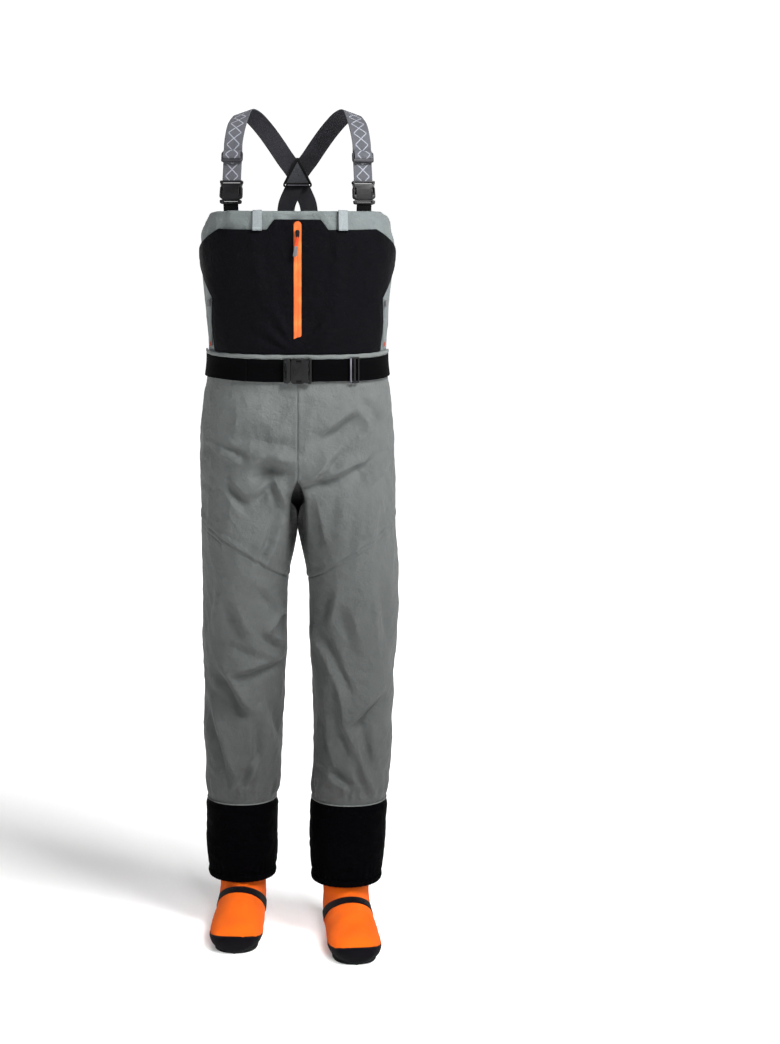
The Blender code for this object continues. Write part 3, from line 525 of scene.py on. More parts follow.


# the legs' cloth, with painted shade towards the floor and between the thighs
SHELL = cloth("shell_cloth", srgb(95, 99, 98), painted_shade=(0.30, 1.02, 0.36))
# the legs' cloth in a lighter tone for the bib and the side zips' lips: painted light on the upper body
SHELL_BIB = cloth("bib_cloth", srgb(108, 115, 115))
WELT = cloth("welt_cloth", srgb(107, 112, 111))
POCKET = cloth("pocket_cloth", srgb(8, 8, 12), roughness=0.6, sheen=0.0, gloss=0.04, crinkle=0.0045)
LINING = cloth("lining_cloth", srgb(80, 84, 84), has_uv=False)
GUARD = cloth("guard_cloth", srgb(2, 2, 3), roughness=0.75, sheen=0.0, gloss=0.01, pitch=0.0013)
TRIM = cloth("trim_cloth", srgb(98, 102, 100))
PATCH = cloth("patch_cloth", srgb(76, 77, 81), gloss=0.1, has_uv=False)
BELT = webbing("belt_webbing_black", srgb(2, 2, 3))
TAB = webbing("tab_webbing_black", srgb(14, 14, 15))
STRAP = webbing("strap_webbing_dark", srgb(54, 54, 58))
PRINTED = [webbing("strap_webbing_print", srgb(82, 83, 88), printed=srgb(146, 148, 157)), STRAP]
LOOP = webbing("loop_webbing", srgb(130, 136, 138), ribs=0.0026)
ORANGE = neoprene("neoprene_orange", srgb(204, 86, 14))
BLACK_RUBBER = neoprene("neoprene_black", srgb(5, 4, 7))
ZIP = plastic("zip_coating", srgb(197, 94, 42), 0.42, grain=500.0)
ZIP_DARK = plastic("zip_end_red", srgb(140, 46, 18), 0.5)
PULL_RED = plastic("pull_red", srgb(165, 50, 22), 0.5)
PULL_GREY = plastic("pull_grey_rubber", srgb(84, 84, 86), 0.6)
BUCKLE = plastic("buckle_plastic", srgb(9, 9, 11), 0.42)
ADJUSTER = plastic("adjuster_plastic", srgb(40, 40, 44), 0.5)
BAR = plastic("bar_metal", srgb(92, 91, 98), 0.4, 0.3)
SOLE_RUBBER = plastic("sole_rubber", srgb(10, 9, 12), 0.7)


# ---------------------------------------------------------------- folds

# folds on the front of the legs: from x, z to x, z, then width, height and the side of their hollow
FOLDS = (
    (0.043, 0.930, 0.098, 0.970, 0.016, 0.0050, 1), (0.098, 0.970, 0.136, 0.918, 0.015, 0.0042, -1),
    (0.066, 0.900, 0.020, 0.846, 0.013, 0.0050, -1), (0.106, 0.876, 0.030, 0.846, 0.012, 0.0052, -1),
    (0.150, 0.880, 0.108, 0.832, 0.012, 0.0034, 1), (0.132, 0.935, 0.090, 0.905, 0.012, 0.0028, 1),
    (0.032, 0.812, 0.050, 0.735, 0.011, 0.0026, 1), (0.080, 0.820, 0.072, 0.750, 0.014, 0.0014, 1),
    (0.140, 0.830, 0.118, 0.715, 0.014, 0.0020, -1), (0.110, 0.790, 0.100, 0.700, 0.012, 0.0011, 1),
    (-0.085, 0.890, -0.004, 0.880, 0.020, 0.0050, -1), (-0.140, 0.890, -0.092, 0.872, 0.012, 0.0036, -1),
    (-0.112, 0.848, -0.080, 0.818, 0.012, 0.0028, 1), (-0.080, 0.818, -0.052, 0.846, 0.012, 0.0040, 1),
    (-0.122, 0.825, -0.095, 0.775, 0.013, 0.0018, -1), (-0.040, 0.850, -0.016, 0.800, 0.010, 0.0034, 1),
    (-0.026, 0.775, -0.060, 0.690, 0.010, 0.0044, 1), (-0.048, 0.765, -0.075, 0.700, 0.010, 0.0026, -1),
    (-0.128, 0.965, -0.060, 0.985, 0.020, 0.0026, -1), (-0.120, 0.930, -0.050, 0.962, 0.022, 0.0030, 1),
    (-0.022, 0.612, -0.052, 0.570, 0.011, 0.0056, -1), (-0.052, 0.570, -0.024, 0.540, 0.011, 0.0040, 1),
    (-0.125, 0.500, -0.082, 0.425, 0.014, 0.0074, 1), (-0.118, 0.498, -0.028, 0.518, 0.015, 0.0056, 1),
    (-0.075, 0.545, -0.110, 0.640, 0.016, 0.0028, -1), (-0.068, 0.440, -0.045, 0.350, 0.014, 0.0042, -1),
    (-0.148, 0.440, -0.112, 0.300, 0.013, 0.0052, 1), (-0.086, 0.400, -0.080, 0.290, 0.011, 0.0034, -1),
    (-0.060, 0.345, -0.095, 0.272, 0.009, 0.0034, 1), (-0.130, 0.655, -0.142, 0.560, 0.015, 0.0030, 1),
    (0.026, 0.575, 0.054, 0.515, 0.012, 0.0048, -1), (0.054, 0.515, 0.078, 0.452, 0.012, 0.0048, -1),
    (0.142, 0.462, 0.084, 0.405, 0.014, 0.0062, -1), (0.084, 0.405, 0.102, 0.355, 0.010, 0.0040, 1),
    (0.074, 0.500, 0.082, 0.400, 0.010, 0.0036, 1), (0.046, 0.312, 0.084, 0.285, 0.011, 0.0056, -1),
    (0.098, 0.400, 0.120, 0.290, 0.013, 0.0042, -1), (0.050, 0.430, 0.062, 0.335, 0.012, 0.0040, 1),
    (0.128, 0.660, 0.136, 0.545, 0.015, 0.0034, -1), (0.070, 0.650, 0.060, 0.585, 0.014, 0.0030, 1),
    (0.112, 0.330, 0.135, 0.270, 0.010, 0.0032, 1), (0.090, 0.625, 0.112, 0.545, 0.016, 0.0026, 1),
)
# ledges: the cloth drops behind a sharp line and comes back slowly below it
LEDGES = (
    (-0.0880, 0.868, -0.048, 0.896, 0.026, 0.0110), (-0.054, 0.895, -0.002, 0.880, 0.028, 0.0130),
    (0.004, 0.846, 0.058, 0.868, 0.020, 0.0110), (0.058, 0.868, 0.108, 0.880, 0.012, 0.0060),
    (0.016, 0.926, 0.088, 0.974, 0.024, 0.0110), (0.120, 0.842, 0.160, 0.872, 0.012, 0.0040),
    (-0.125, 0.560, -0.020, 0.512, 0.014, 0.0050), (-0.140, 0.470, -0.085, 0.425, 0.016, 0.0060),
    (0.030, 0.330, 0.092, 0.300, 0.012, 0.0050), (0.082, 0.405, 0.140, 0.462, 0.014, 0.0050),
    (-0.150, 0.905, -0.095, 0.880, 0.012, 0.0040), (-0.060, 0.655, -0.020, 0.590, 0.012, 0.0050),
)
# the same for the back: seat, hollow of the knee and calf
BACK_FOLDS = (
    (-0.130, 0.900, -0.020, 0.850, 0.018, 0.0052, 1), (0.130, 0.900, 0.020, 0.850, 0.018, 0.0052, -1),
    (-0.130, 0.840, -0.035, 0.800, 0.014, 0.0046, 1), (0.130, 0.840, 0.035, 0.800, 0.014, 0.0046, -1),
    (-0.140, 0.640, -0.045, 0.660, 0.014, 0.0056, -1), (0.145, 0.640, 0.050, 0.662, 0.014, 0.0056, 1),
    (-0.135, 0.600, -0.055, 0.585, 0.013, 0.0050, 1), (0.140, 0.602, 0.060, 0.585, 0.013, 0.0050, -1),
    (-0.120, 0.500, -0.080, 0.380, 0.018, 0.0044, 1), (0.125, 0.500, 0.080, 0.380, 0.018, 0.0044, -1),
    (-0.110, 0.350, -0.075, 0.290, 0.012, 0.0036, -1), (0.105, 0.350, 0.075, 0.290, 0.012, 0.0036, 1),
)


def beside(x, z, ends, width):
    """Share of the way along a line from x, z to x, z, and distance from it in widths."""
    x0, z0, x1, z1 = ends
    ax, az = x1 - x0, z1 - z0
    size = np.hypot(ax, az)
    return ((x - x0) * ax + (z - z0) * az) / size**2, ((x - x0) * az - (z - z0) * ax) / size / width


def folds(points, normals, table, facing):
    """Offsets of crisp draped folds seen from one side: facing is -1 for the front and 1 for the back."""
    x, z = points[:, 0], points[:, 2]
    total = np.zeros(len(x))
    for *ends, width, height, hollow in table:
        t, s = beside(x, z, ends, width)
        s = s * hollow
        crest = np.exp(-np.abs(s) ** 1.15) - 0.95 * np.exp(-((s - 1.15) ** 2) / 0.42)
        total += FOLD_GAIN * height * crest * np.exp(-np.abs(2 * t - 1) ** 2.8)
    for *ends, width, height in LEDGES if facing < 0 else ():
        t, s = beside(x, z, ends, width)
        drop = smooth(s, -0.10, 1.05) * np.exp(-np.maximum(s - 1, 0) / 0.9)
        drop -= 0.25 * np.exp(-np.abs(s + 0.10) * 3.0)
        total -= height * drop * np.exp(-((2 * t - 1) ** 4))
    return total * smooth(facing * normals[:, 1], 0.0, 0.45)


def noise_at(points, size, seed, stretch=1.0):
    """Smooth noise from -1 to 1, its features of a size, stretched upwards."""
    flat = points.reshape(-1, 3) / (size, size, size * stretch) + seed * 7.31
    return np.array([noise.noise(Vector(p)) for p in flat]).reshape(points.shape[:-1])


def creases(points, size, seed, stretch=1.0):
    """The same with its middle value drawn into sharp crests."""
    return 1 - 2.4 * np.abs(noise_at(points, size, seed, stretch))


def drape(points):
    """Uneven lie of laminated cloth: broad waves with creases along their crests."""
    broad = noise_at(points, 0.085, 1, 1.6)
    return 0.0032 * broad + 0.0020 * creases(points, 0.046, 2, 1.8) + 0.0008 * creases(points, 0.021, 3, 1.3)


# ---------------------------------------------------------------- seat and legs

SIDE_STEPS, INNER_STEPS, INNER_EDGE = 18, 6, 58.0
UPPER_ROWS = 6  # rows of cage faces from the crotch to the knee
CAGE_WIDTH = 0.0215  # of a cage face, for its UV
SEAT_HEIGHTS = (1.0325, 1.005, 0.975, 0.940, 0.900, 0.865)
CALF_HEIGHTS = (0.600, 0.560, 0.515, 0.470, 0.425, 0.380, 0.340, 0.300, 0.270, 0.245, 0.220, 0.195, 0.166)


def leg_turns():
    outer = np.linspace(-INNER_EDGE, 180 + INNER_EDGE, SIDE_STEPS + 1)
    inner = np.linspace(180 + INNER_EDGE, 360 - INNER_EDGE, INNER_STEPS + 1)[1:-1]
    return np.concatenate((outer, inner))


def knee_height(turn):
    return KNEE_INNER + (KNEE_OUTER - KNEE_INNER) * (1 + np.sin(np.radians(turn))) / 2


def crotch():
    share = np.arange(1, INNER_STEPS) / INNER_STEPS
    depth = np.where(share < 0.5, TORSO[0, 3], -TORSO[0, 2])
    y = depth * np.abs(np.cos(pi * share)) ** 1.5
    return np.stack((0 * y, y, CROTCH_Z - (CROTCH_Z - CROTCH_LOW) * np.sin(pi * share) ** 2), 1)


def cage_rows(side):
    """Rows of cage points of one side's half of the seat, and of its leg."""
    turns = leg_turns()
    outer = np.linspace(0, 180, SIDE_STEPS + 1) * SIDES[side]
    seat = [torso(outer, z) for z in SEAT_HEIGHTS]
    junction = np.concatenate((torso(outer, CROTCH_Z), crotch()))
    for row in seat + [junction]:
        row[np.abs(row[:, 0]) < 1e-6, 0] = 0.0
    thigh = leg(side, turns, 0.715 + 0.040 * (1 + np.sin(np.radians(turns))))
    knee = leg(side, turns, knee_height(turns))
    calf = [leg(side, turns, z) for z in CALF_HEIGHTS]
    above = np.concatenate((seat[-1], junction[SIDE_STEPS + 1:] + (0, 0, 0.03)))
    tube = [junction] + [blend_rows(above, junction, thigh, calf[0], t) for t in (0.25, 0.5, 0.75)]
    tube += [thigh * 0.85 + knee * 0.15, thigh * 0.45 + knee * 0.55, knee]
    tube += [leg(side, turns, (knee_height(turns) + CALF_HEIGHTS[0]) / 2), *calf]
    return seat + [junction[: SIDE_STEPS + 1]], tube


def lower_body():
    """Seat and both legs as one smooth surface, then its four panels as pieces."""
    verts, faces, owners, uvs = {}, [], [], []
    for number, (side, sign) in enumerate(SIDES.items()):
        order = int(sign)
        for rows, closed in zip(cage_rows(side), (False, True)):
            ids = [[verts.setdefault(tuple(round(float(c), 6) for c in p), (len(verts), p))[0] for p in row]
                   for row in rows]
            for r in range(len(rows) - 1):
                count = len(ids[r])
                for c in range(count if closed else count - 1):
                    d = (c + 1) % count
                    v0, v1 = rows[r][c][2], rows[r + 1][c][2]
                    u0, u1 = c * CAGE_WIDTH, (c + 1) * CAGE_WIDTH
                    faces.append([ids[r][c], ids[r + 1][c], ids[r + 1][d], ids[r][d]][::order])
                    uvs += [(u0, v0), (u0, v1), (u1, v1), (u1, v0)][::order]
                    owners.append(number + (2 if closed and r >= UPPER_ROWS else 0))
    mesh = bpy.data.meshes.new("lower_body")
    mesh.from_pydata([point.tolist() for _, point in verts.values()], [], faces)
    set_uv(mesh, uvs)
    for _ in range(4):
        mesh.materials.append(None)
    mesh.polygons.foreach_set("material_index", owners)
    obj = link("lower_body", mesh)
    modifier = obj.modifiers.new("smooth", "SUBSURF")
    modifier.levels = modifier.render_levels = 4
    modifier.boundary_smooth = "PRESERVE_CORNERS"
    mesh = apply(obj).data
    points, normals = read(mesh.vertices, "co", 3), read(mesh.vertex_normals, "vector", 3)
    split_panels(mesh, points + normals * leg_offsets(points, normals)[:, None])
    bpy.data.objects.remove(obj)


def leg_offsets(points, normals):
    """How far the cloth stands off the plain surface of the seat and legs."""
    x, y, z = points.T
    facing_front = -normals[:, 1]
    on_left = x > 0
    offset = folds(points, normals, FOLDS, -1) + folds(points, normals, BACK_FOLDS, 1) + drape(points)
    seam = np.zeros(len(points))
    guard_top = np.where(on_left, GUARDS["left"][0][0], GUARDS["right"][0][0])
    above_guard = z - guard_top
    for side, chosen in (("right", ~on_left), ("left", on_left)):
        x0, y0, half, depth = station(LEGS[side], z)
        unit = np.clip((x - x0) * SIDES[side] / half, -1, 1)
        turn = np.arctan2(unit, -(y - y0) / depth)
        above = z - knee_height(np.degrees(turn))
        lap = 0.0014 * smooth(above, -0.0006, 0.0014) * (1 - smooth(above, 0.004, 0.014))
        groove = 0.0014 * bell(above + 0.0016, 0.0018)
        seam += np.where(chosen & (z < 0.80), lap - groove, 0.0)
        gather = np.sin(turn * 23 + 1.3 * np.sin(turn * 5))
        near = smooth(above_guard, -0.004, 0.006) * (1 - smooth(above_guard, 0.02, 0.06))
        offset += np.where(chosen, 0.0011 * gather * near, 0.0)
    centre_seam = 0.0004 * bell(np.abs(x) - 0.0035, 0.003) - 0.0008 * bell(x, 0.0013)
    seam += np.where((z > CROTCH_Z) & (np.abs(facing_front) > 0.5), centre_seam, 0.0)
    between = smooth(np.abs(x), 0.004, 0.030) * (z < CROTCH_Z) + (z >= CROTCH_Z)
    narrow = 0.0028 + 0.0055 * smooth(0.850 - z, 0.0, 0.050)
    deep = 0.028 * bell(x, narrow) * smooth(z, 0.700, 0.745) * (1 - smooth(z, 0.825, 0.850))
    seam -= deep * smooth(facing_front, 0.2, 0.5)
    below_belt = BELT_Z - z
    pucker = 0.0010 * np.sin(x * 210 + 2.2 * np.sin(x * 61)) * (1 - smooth(below_belt, 0.026, 0.060))
    total = offset * between + seam + pucker * smooth(below_belt, 0.018, 0.026)
    return total * smooth(np.abs(below_belt), 0.020, 0.050) * smooth(above_guard, 0.001, 0.022)


def split_panels(mesh, points):
    owner = read(mesh.polygons, "material_index", 1, int).ravel()
    corners = read(mesh.loops, "vertex_index", 1, int).reshape(-1, 4)
    uv = read(mesh.uv_layers[0].data, "uv", 2).reshape(-1, 4, 2)
    names = ["upper_leg_right", "upper_leg_left", "lower_leg_right", "lower_leg_left"]
    for number, name in enumerate(names):
        used, new = np.unique(corners[owner == number], return_inverse=True)
        part = bpy.data.meshes.new(name + "_cloth")
        part.from_pydata(points[used].tolist(), [], new.reshape(-1, 4).tolist())
        set_uv(part, uv[owner == number])
        part.shade_smooth()
        obj = solidify(link(name + "_cloth", part), 0.0010)
        dress(obj, SHELL, "shell_grey", ROOT, name)


# ---------------------------------------------------------------- bib and pocket

BIB_SIDE_Z, BIB_LOW_Z = 1.279, 1.0335


def bib_top(turn):
    share = (1 - np.cos(np.radians(turn))) / 2
    front = BIB_SIDE_Z + 0.021 * (1 - np.minimum(1.0, share / 0.5) ** 2.2)
    return np.where(share < 0.5, front, BIB_SIDE_Z - 0.005 * (share - 0.5) * 2)


def bib():
    for name, start, height in (("bib_front", -90.0, 0.27), ("bib_back", 90.0, 0.245)):
        turns = np.linspace(start, start + 180, 181)
        z = BIB_LOW_Z + (bib_top(turns) - BIB_LOW_Z) * np.linspace(1, 0, 111)[:, None]
        points = torso(turns + 0 * z, z)
        x, below_top = points[..., 0], bib_top(turns) - z
        offset = 0.7 * drape(points) * smooth(z, 1.055, 1.075)
        corner = smooth(np.abs(x), 0.080, 0.120) * smooth(z, 1.20, 1.25)
        offset += corner * 0.0012 * np.sin(x * 110 - z * 150)
        band_folds = creases(points + (0.2 * z[..., None] * (1, 0, 0)), 0.024, 11, 1.5)
        offset += 0.0013 * band_folds * smooth(z, 1.225, 1.262) * smooth(below_top, 0.004, 0.014)
        offset += 0.0007 * np.sin(turns * 0.42) * (1 - smooth(below_top, 0.0, 0.03))
        offset += 0.0007 * (1 - smooth(below_top, 0.0085, 0.0100)) - 0.0007 * bell(below_top - 0.0105, 0.0012)
        offset -= 0.0012 * (1 - smooth(below_top, 0.0, 0.0022))
        points = points + grid_normals(points) * offset[..., None]
        obj = panel(name + "_cloth", points, 0.0012, SHELL_BIB, "shell_grey", ROOT, name)


POCKET_LIFT = 0.0050
POCKET_TOP = ((0.00, 0.0, 1.2862), (0.27, 0.0385, 1.2860), (0.37, 0.0515, 1.2690), (0.80, 0.1300, 1.2680))
POCKET_WING = (93.0, 1.2235)
POCKET_BOTTOM, POCKET_HALF = 1.0605, 0.137
POCKET_SIDE = ((0.28, 64.0, 1.110), (0.50, 61.0, 1.150), (0.74, 80.0, 1.190), (0.90, 93.0, 1.206))
WELT_PROFILE = ((1.0600, 0.0022), (1.0597, 0.0040), (1.0580, 0.0048), (1.0550, 0.0048), (1.0528, 0.0040),
                (1.0520, 0.0024))


def pocket():
    """Chest pocket: outline as the CAD's, soft folds, a turned-in edge and a row of stitches."""
    share = np.union1d(np.linspace(0, 1, 76), [row[0] for row in POCKET_TOP])
    across = np.concatenate((-share[:0:-1], share))
    up = np.union1d(np.linspace(0, 1, 96), [row[0] for row in POCKET_SIDE])[::-1, None]
    corner = turn_at(POCKET_HALF, POCKET_BOTTOM)
    top = [(s, turn_at(x, z), z) for s, x, z in POCKET_TOP] + [(1.0, *POCKET_WING)]
    edge = [(0.0, corner, POCKET_BOTTOM), *POCKET_SIDE, (1.0, *POCKET_WING)]
    a = np.abs(across)
    top_turn, top_z = [np.interp(a, [row[0] for row in top], [row[i] for row in top]) for i in (1, 2)]
    edge_turn, edge_z = [np.interp(up, [row[0] for row in edge], [row[i] for row in edge]) for i in (1, 2)]
    straight_turn = corner + (POCKET_WING[0] - corner) * up
    straight_z = POCKET_BOTTOM + (POCKET_WING[1] - POCKET_BOTTOM) * up
    turn = np.sign(across) * (corner * a * (1 - up) + top_turn * up + (edge_turn - straight_turn) * a)
    z = POCKET_BOTTOM * (1 - up) + top_z * up + (edge_z - straight_z) * a
    flat = torso(turn, z, 0.0, False)
    x = flat[..., 0]
    rim = np.minimum(np.minimum((1 - a) * 0.17, up * 0.22), (1 - up) * 0.22)
    soft = 0.0016 * noise_at(flat, 0.060, 4, 2.2) + 0.0010 * creases(flat, 0.035, 5, 2.0)
    fan = np.arctan2(np.abs(x) + 0.01, z - 1.052)
    reach = bell(np.hypot(x, z - 1.078), 0.085)
    soft += 0.0022 * np.sin(fan * 17 + 1.5 * np.sign(x)) * reach * smooth(np.abs(x), 0.004, 0.03)
    soft += 0.0018 * bell(np.abs(x) - 0.062 - 0.10 * (z - 1.17), 0.010) * smooth(z, 1.09, 1.15)
    soft = np.clip(soft, -0.0012, 0.0034) * smooth(np.abs(x), 0.008, 0.022) * smooth(rim, 0.002, 0.014)
    lift = POCKET_LIFT + soft - 0.0022 * (1 - smooth(rim, 0.0, 0.0022)) - 0.0006 * bell(rim - 0.0042, 0.0009)
    obj = panel("chest_pocket_cloth", torso(turn, z, lift, False), 0.0010, POCKET, "pocket_black", ROOT,
                "chest_pocket")
    turns = np.linspace(-85.5, 85.5, 121)
    wave = 0.0004 * np.sin(turns * 0.5)
    welt = np.stack([torso(turns, z + wave, lift, False) for z, lift in WELT_PROFILE])
    panel("pocket_welt_cloth", welt, 0.0009, WELT, "welt_grey", ROOT, "pocket_welt")
    repaint("pocket_bag", LINING)


# ---------------------------------------------------------------- zips

SIDE_ZIP_X, SIDE_ZIP_END_Z = 0.1445, 1.0715
FORWARD = (0, -1, 0)


def chest_zip():
    top, bottom = (Vector(torso(0.0, z, POCKET_LIFT + 0.0012, False)) for z in (1.2835, 1.0870))
    along, length, half = (top - bottom).normalized(), (top - bottom).length, 0.0064
    tape = [(0.0, half), (0.0060, -half)] + [
        (length - half + half * sin(radians(a)), -half * cos(radians(a))) for a in range(0, 181, 15)]
    layers = [([tape], -0.0004, 0.0010, 0.0003)]
    for low, high in ((0.00045, 0.0056), (-0.0056, -0.00045)):
        lip = [(0.0045, low), (length - 0.007, low), (length - 0.004, low), (length - 0.004, high), (0.0030, high)]
        layers.append(([lip], 0.0006, 0.0016, 0.0004))
    layers.append(([rounded(0.0030, 0.0050, 0.0022, length - 0.0052)], 0.0008, 0.0021, 0.0005))
    moulded("chest_zip_coated_tape", layers, frame_at(bottom, along, FORWARD), ZIP, "zip_orange", ROOT,
            "chest_zip_tape")
    low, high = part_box("chest_zip_slider")
    place = frame_at((Vector(low) + Vector(high)) / 2, along, FORWARD)
    shape = mirror_y([(-0.0056, 0.0018), (-0.0050, 0.0030), (0.0030, 0.0036), (0.0054, 0.0020)])
    layers = [([shape], -0.0017, 0.0014, 0.0007), ([rounded(0.0042, 0.0011, 0.0009)], 0.0012, 0.0024, 0.0004)]
    moulded("chest_zip_slider_body", layers, place, BUCKLE, "slider_black", "chest_zip_slider",
            "chest_zip_slider")
    place = place @ Matrix.Translation((0, 0, 0.0034))
    ring_part = [rounded(0.0042, 0.0030, 0.0026, -0.0034), rounded(0.0026, 0.0016, 0.0014, -0.0034)]
    moulded("chest_zip_pull_ring", [(ring_part, -0.0007, 0.0007, 0.0004)], place, BUCKLE, "slider_black",
            "chest_zip_pull", "chest_zip_pull")
    lean = place @ Matrix.Translation((-0.0060, 0, 0)) @ Matrix.Rotation(radians(-8), 4, "Z")
    grip = mirror_y([(0.0, 0.0014), (-0.0020, 0.0026), (-0.0140, 0.0028), (-0.0155, 0.0020)])
    moulded("chest_zip_pull_grip", [([grip], -0.0011, 0.0011, 0.0006)], lean, PULL_RED, "pull_grey",
            "chest_zip_pull")
    tab = [(-0.0150, 0.0026), (-0.0150, -0.0026), (-0.0310, -0.0034), (-0.0335, -0.0010), (-0.0320, 0.0036)]
    ribs = [([rounded(0.0006, 0.0022, 0.0005, x)], 0.0008, 0.0015, 0.0002) for x in (-0.019, -0.022, -0.025)]
    moulded("chest_zip_pull_tab", [([tab], -0.0012, 0.0012, 0.0006), *ribs], lean, PULL_GREY, "pull_grey",
            "chest_zip_pull")


def side_zips():
    steps = np.array((-1.9, -1.4, -0.35, 0.0, 0.35, 1.4, 1.9))
    lifts = np.array((0.0016, 0.0030, 0.0032, 0.0020, 0.0032, 0.0030, 0.0016))
    for side, sign in SIDES.items():
        z = np.linspace(1.150, 1.068, 40)[:, None]
        points = torso(sign * turn_at(SIDE_ZIP_X, z) + steps, z + 0 * steps, lifts + 0 * z, False)
        panel(f"side_zip_{side}_lips", points, 0.0009, SHELL_BIB, "shell_grey", ROOT, f"side_zip_{side}")
        point, normal = on_torso(sign * float(turn_at(SIDE_ZIP_X, SIDE_ZIP_END_Z)), SIDE_ZIP_END_Z, 0.0030)
        moulded(f"side_zip_{side}_end", [([rounded(0.0038, 0.0024, 0.0018)], -0.0012, 0.0010, 0.0006)],
                frame_at(point, (0, 0, 1), normal), ZIP_DARK, "zip_orange", ROOT)
        repaint(f"side_zip_slider_{side}", PULL_GREY)


# ---------------------------------------------------------------- webbing

def catmull_path(points, per):
    """Denser path on a smooth curve through points and their normals."""
    data = np.array([[*p, *n] for p, n in points])
    last = len(data) - 1
    made = []
    for i in range(last):
        four = data[max(i - 1, 0)], data[i], data[i + 1], data[min(i + 2, last)]
        made += [blend_rows(*four, k / per) for k in range(per)]
    return [(Vector(row[:3]), Vector(row[3:]).normalized()) for row in [*made, data[-1]]]


def ribbon(name, path, width, materials, slot, body, *replaced, thickness=0.0016, wave=0.0, per=8):
    """Flat webbing on a smooth path of points and outward normals. Its second material is its inner side's."""
    shares = np.array((-1.0, -0.93, -0.6, -0.2, 0.2, 0.6, 0.93, 1.0))
    path = catmull_path(path, per)
    rows = []
    run = 0.0
    for i, (point, normal) in enumerate(path):
        before, after = path[max(i - 1, 0)][0], path[min(i + 1, len(path) - 1)][0]
        run += (point - before).length
        across = normal.cross(after - before).normalized() * width / 2
        lift = wave * sin(run * 95) * sin(run * 23 + 1)
        rows.append([tuple(point + across * s + normal * (0.0002 * (1 - s**4) + lift)) for s in shares])
    obj = solidify(link(name, grid(name, np.array(rows))), thickness, 0.0, int(isinstance(materials, list)))
    return dress(obj, materials, slot, body, *replaced)


STRAP_X = 0.112
STRAP_FOOT, STRAP_BEND = (STRAP_X, -0.0855, 1.3000), (0.1068, -0.0580, 1.4120)
STRAP_CREST = (
    ((0.1025, -0.0400, 1.4345), (0.15, -0.72, 0.68)), ((0.0965, -0.0120, 1.4500), (0.28, -0.40, 0.87)),
    ((0.0895, 0.0180, 1.4575), (0.36, 0.02, 0.93)), ((0.0745, 0.0460, 1.4480), (0.30, 0.50, 0.80)),
    ((0.0550, 0.0690, 1.4255), (0.15, 0.80, 0.58)), ((0.0370, 0.0835, 1.4000), (0.05, 0.93, 0.38)),
    ((0.0215, 0.0930, 1.3765), (0.00, 0.96, 0.28)),
)
STRAP_BUCKLE_Z, STRAP_BUCKLE_HALF = 1.3281, 0.0195
STRAP_SPLIT_Z = 1.3745  # where the free length above a buckle meets the rest of its strap
ADJUSTER_Z, ADJUSTER_LIFT = 1.3855, 0.0037


def mirrored(values, side):
    return Vector((values[0] * SIDES[side], values[1], values[2]))


def strap_line(side, z, lift=0.0):
    foot, bend = mirrored(STRAP_FOOT, side), mirrored(STRAP_BEND, side)
    return foot.lerp(bend, (z - foot.z) / (bend.z - foot.z)) + strap_normal(side) * lift


def strap_direction(side):
    return (mirrored(STRAP_BEND, side) - mirrored(STRAP_FOOT, side)).normalized()


def strap_normal(side):
    direction, outward = strap_direction(side), mirrored((0.28, -1.0, 0.0), side)
    return (outward - direction * outward.dot(direction)).normalized()


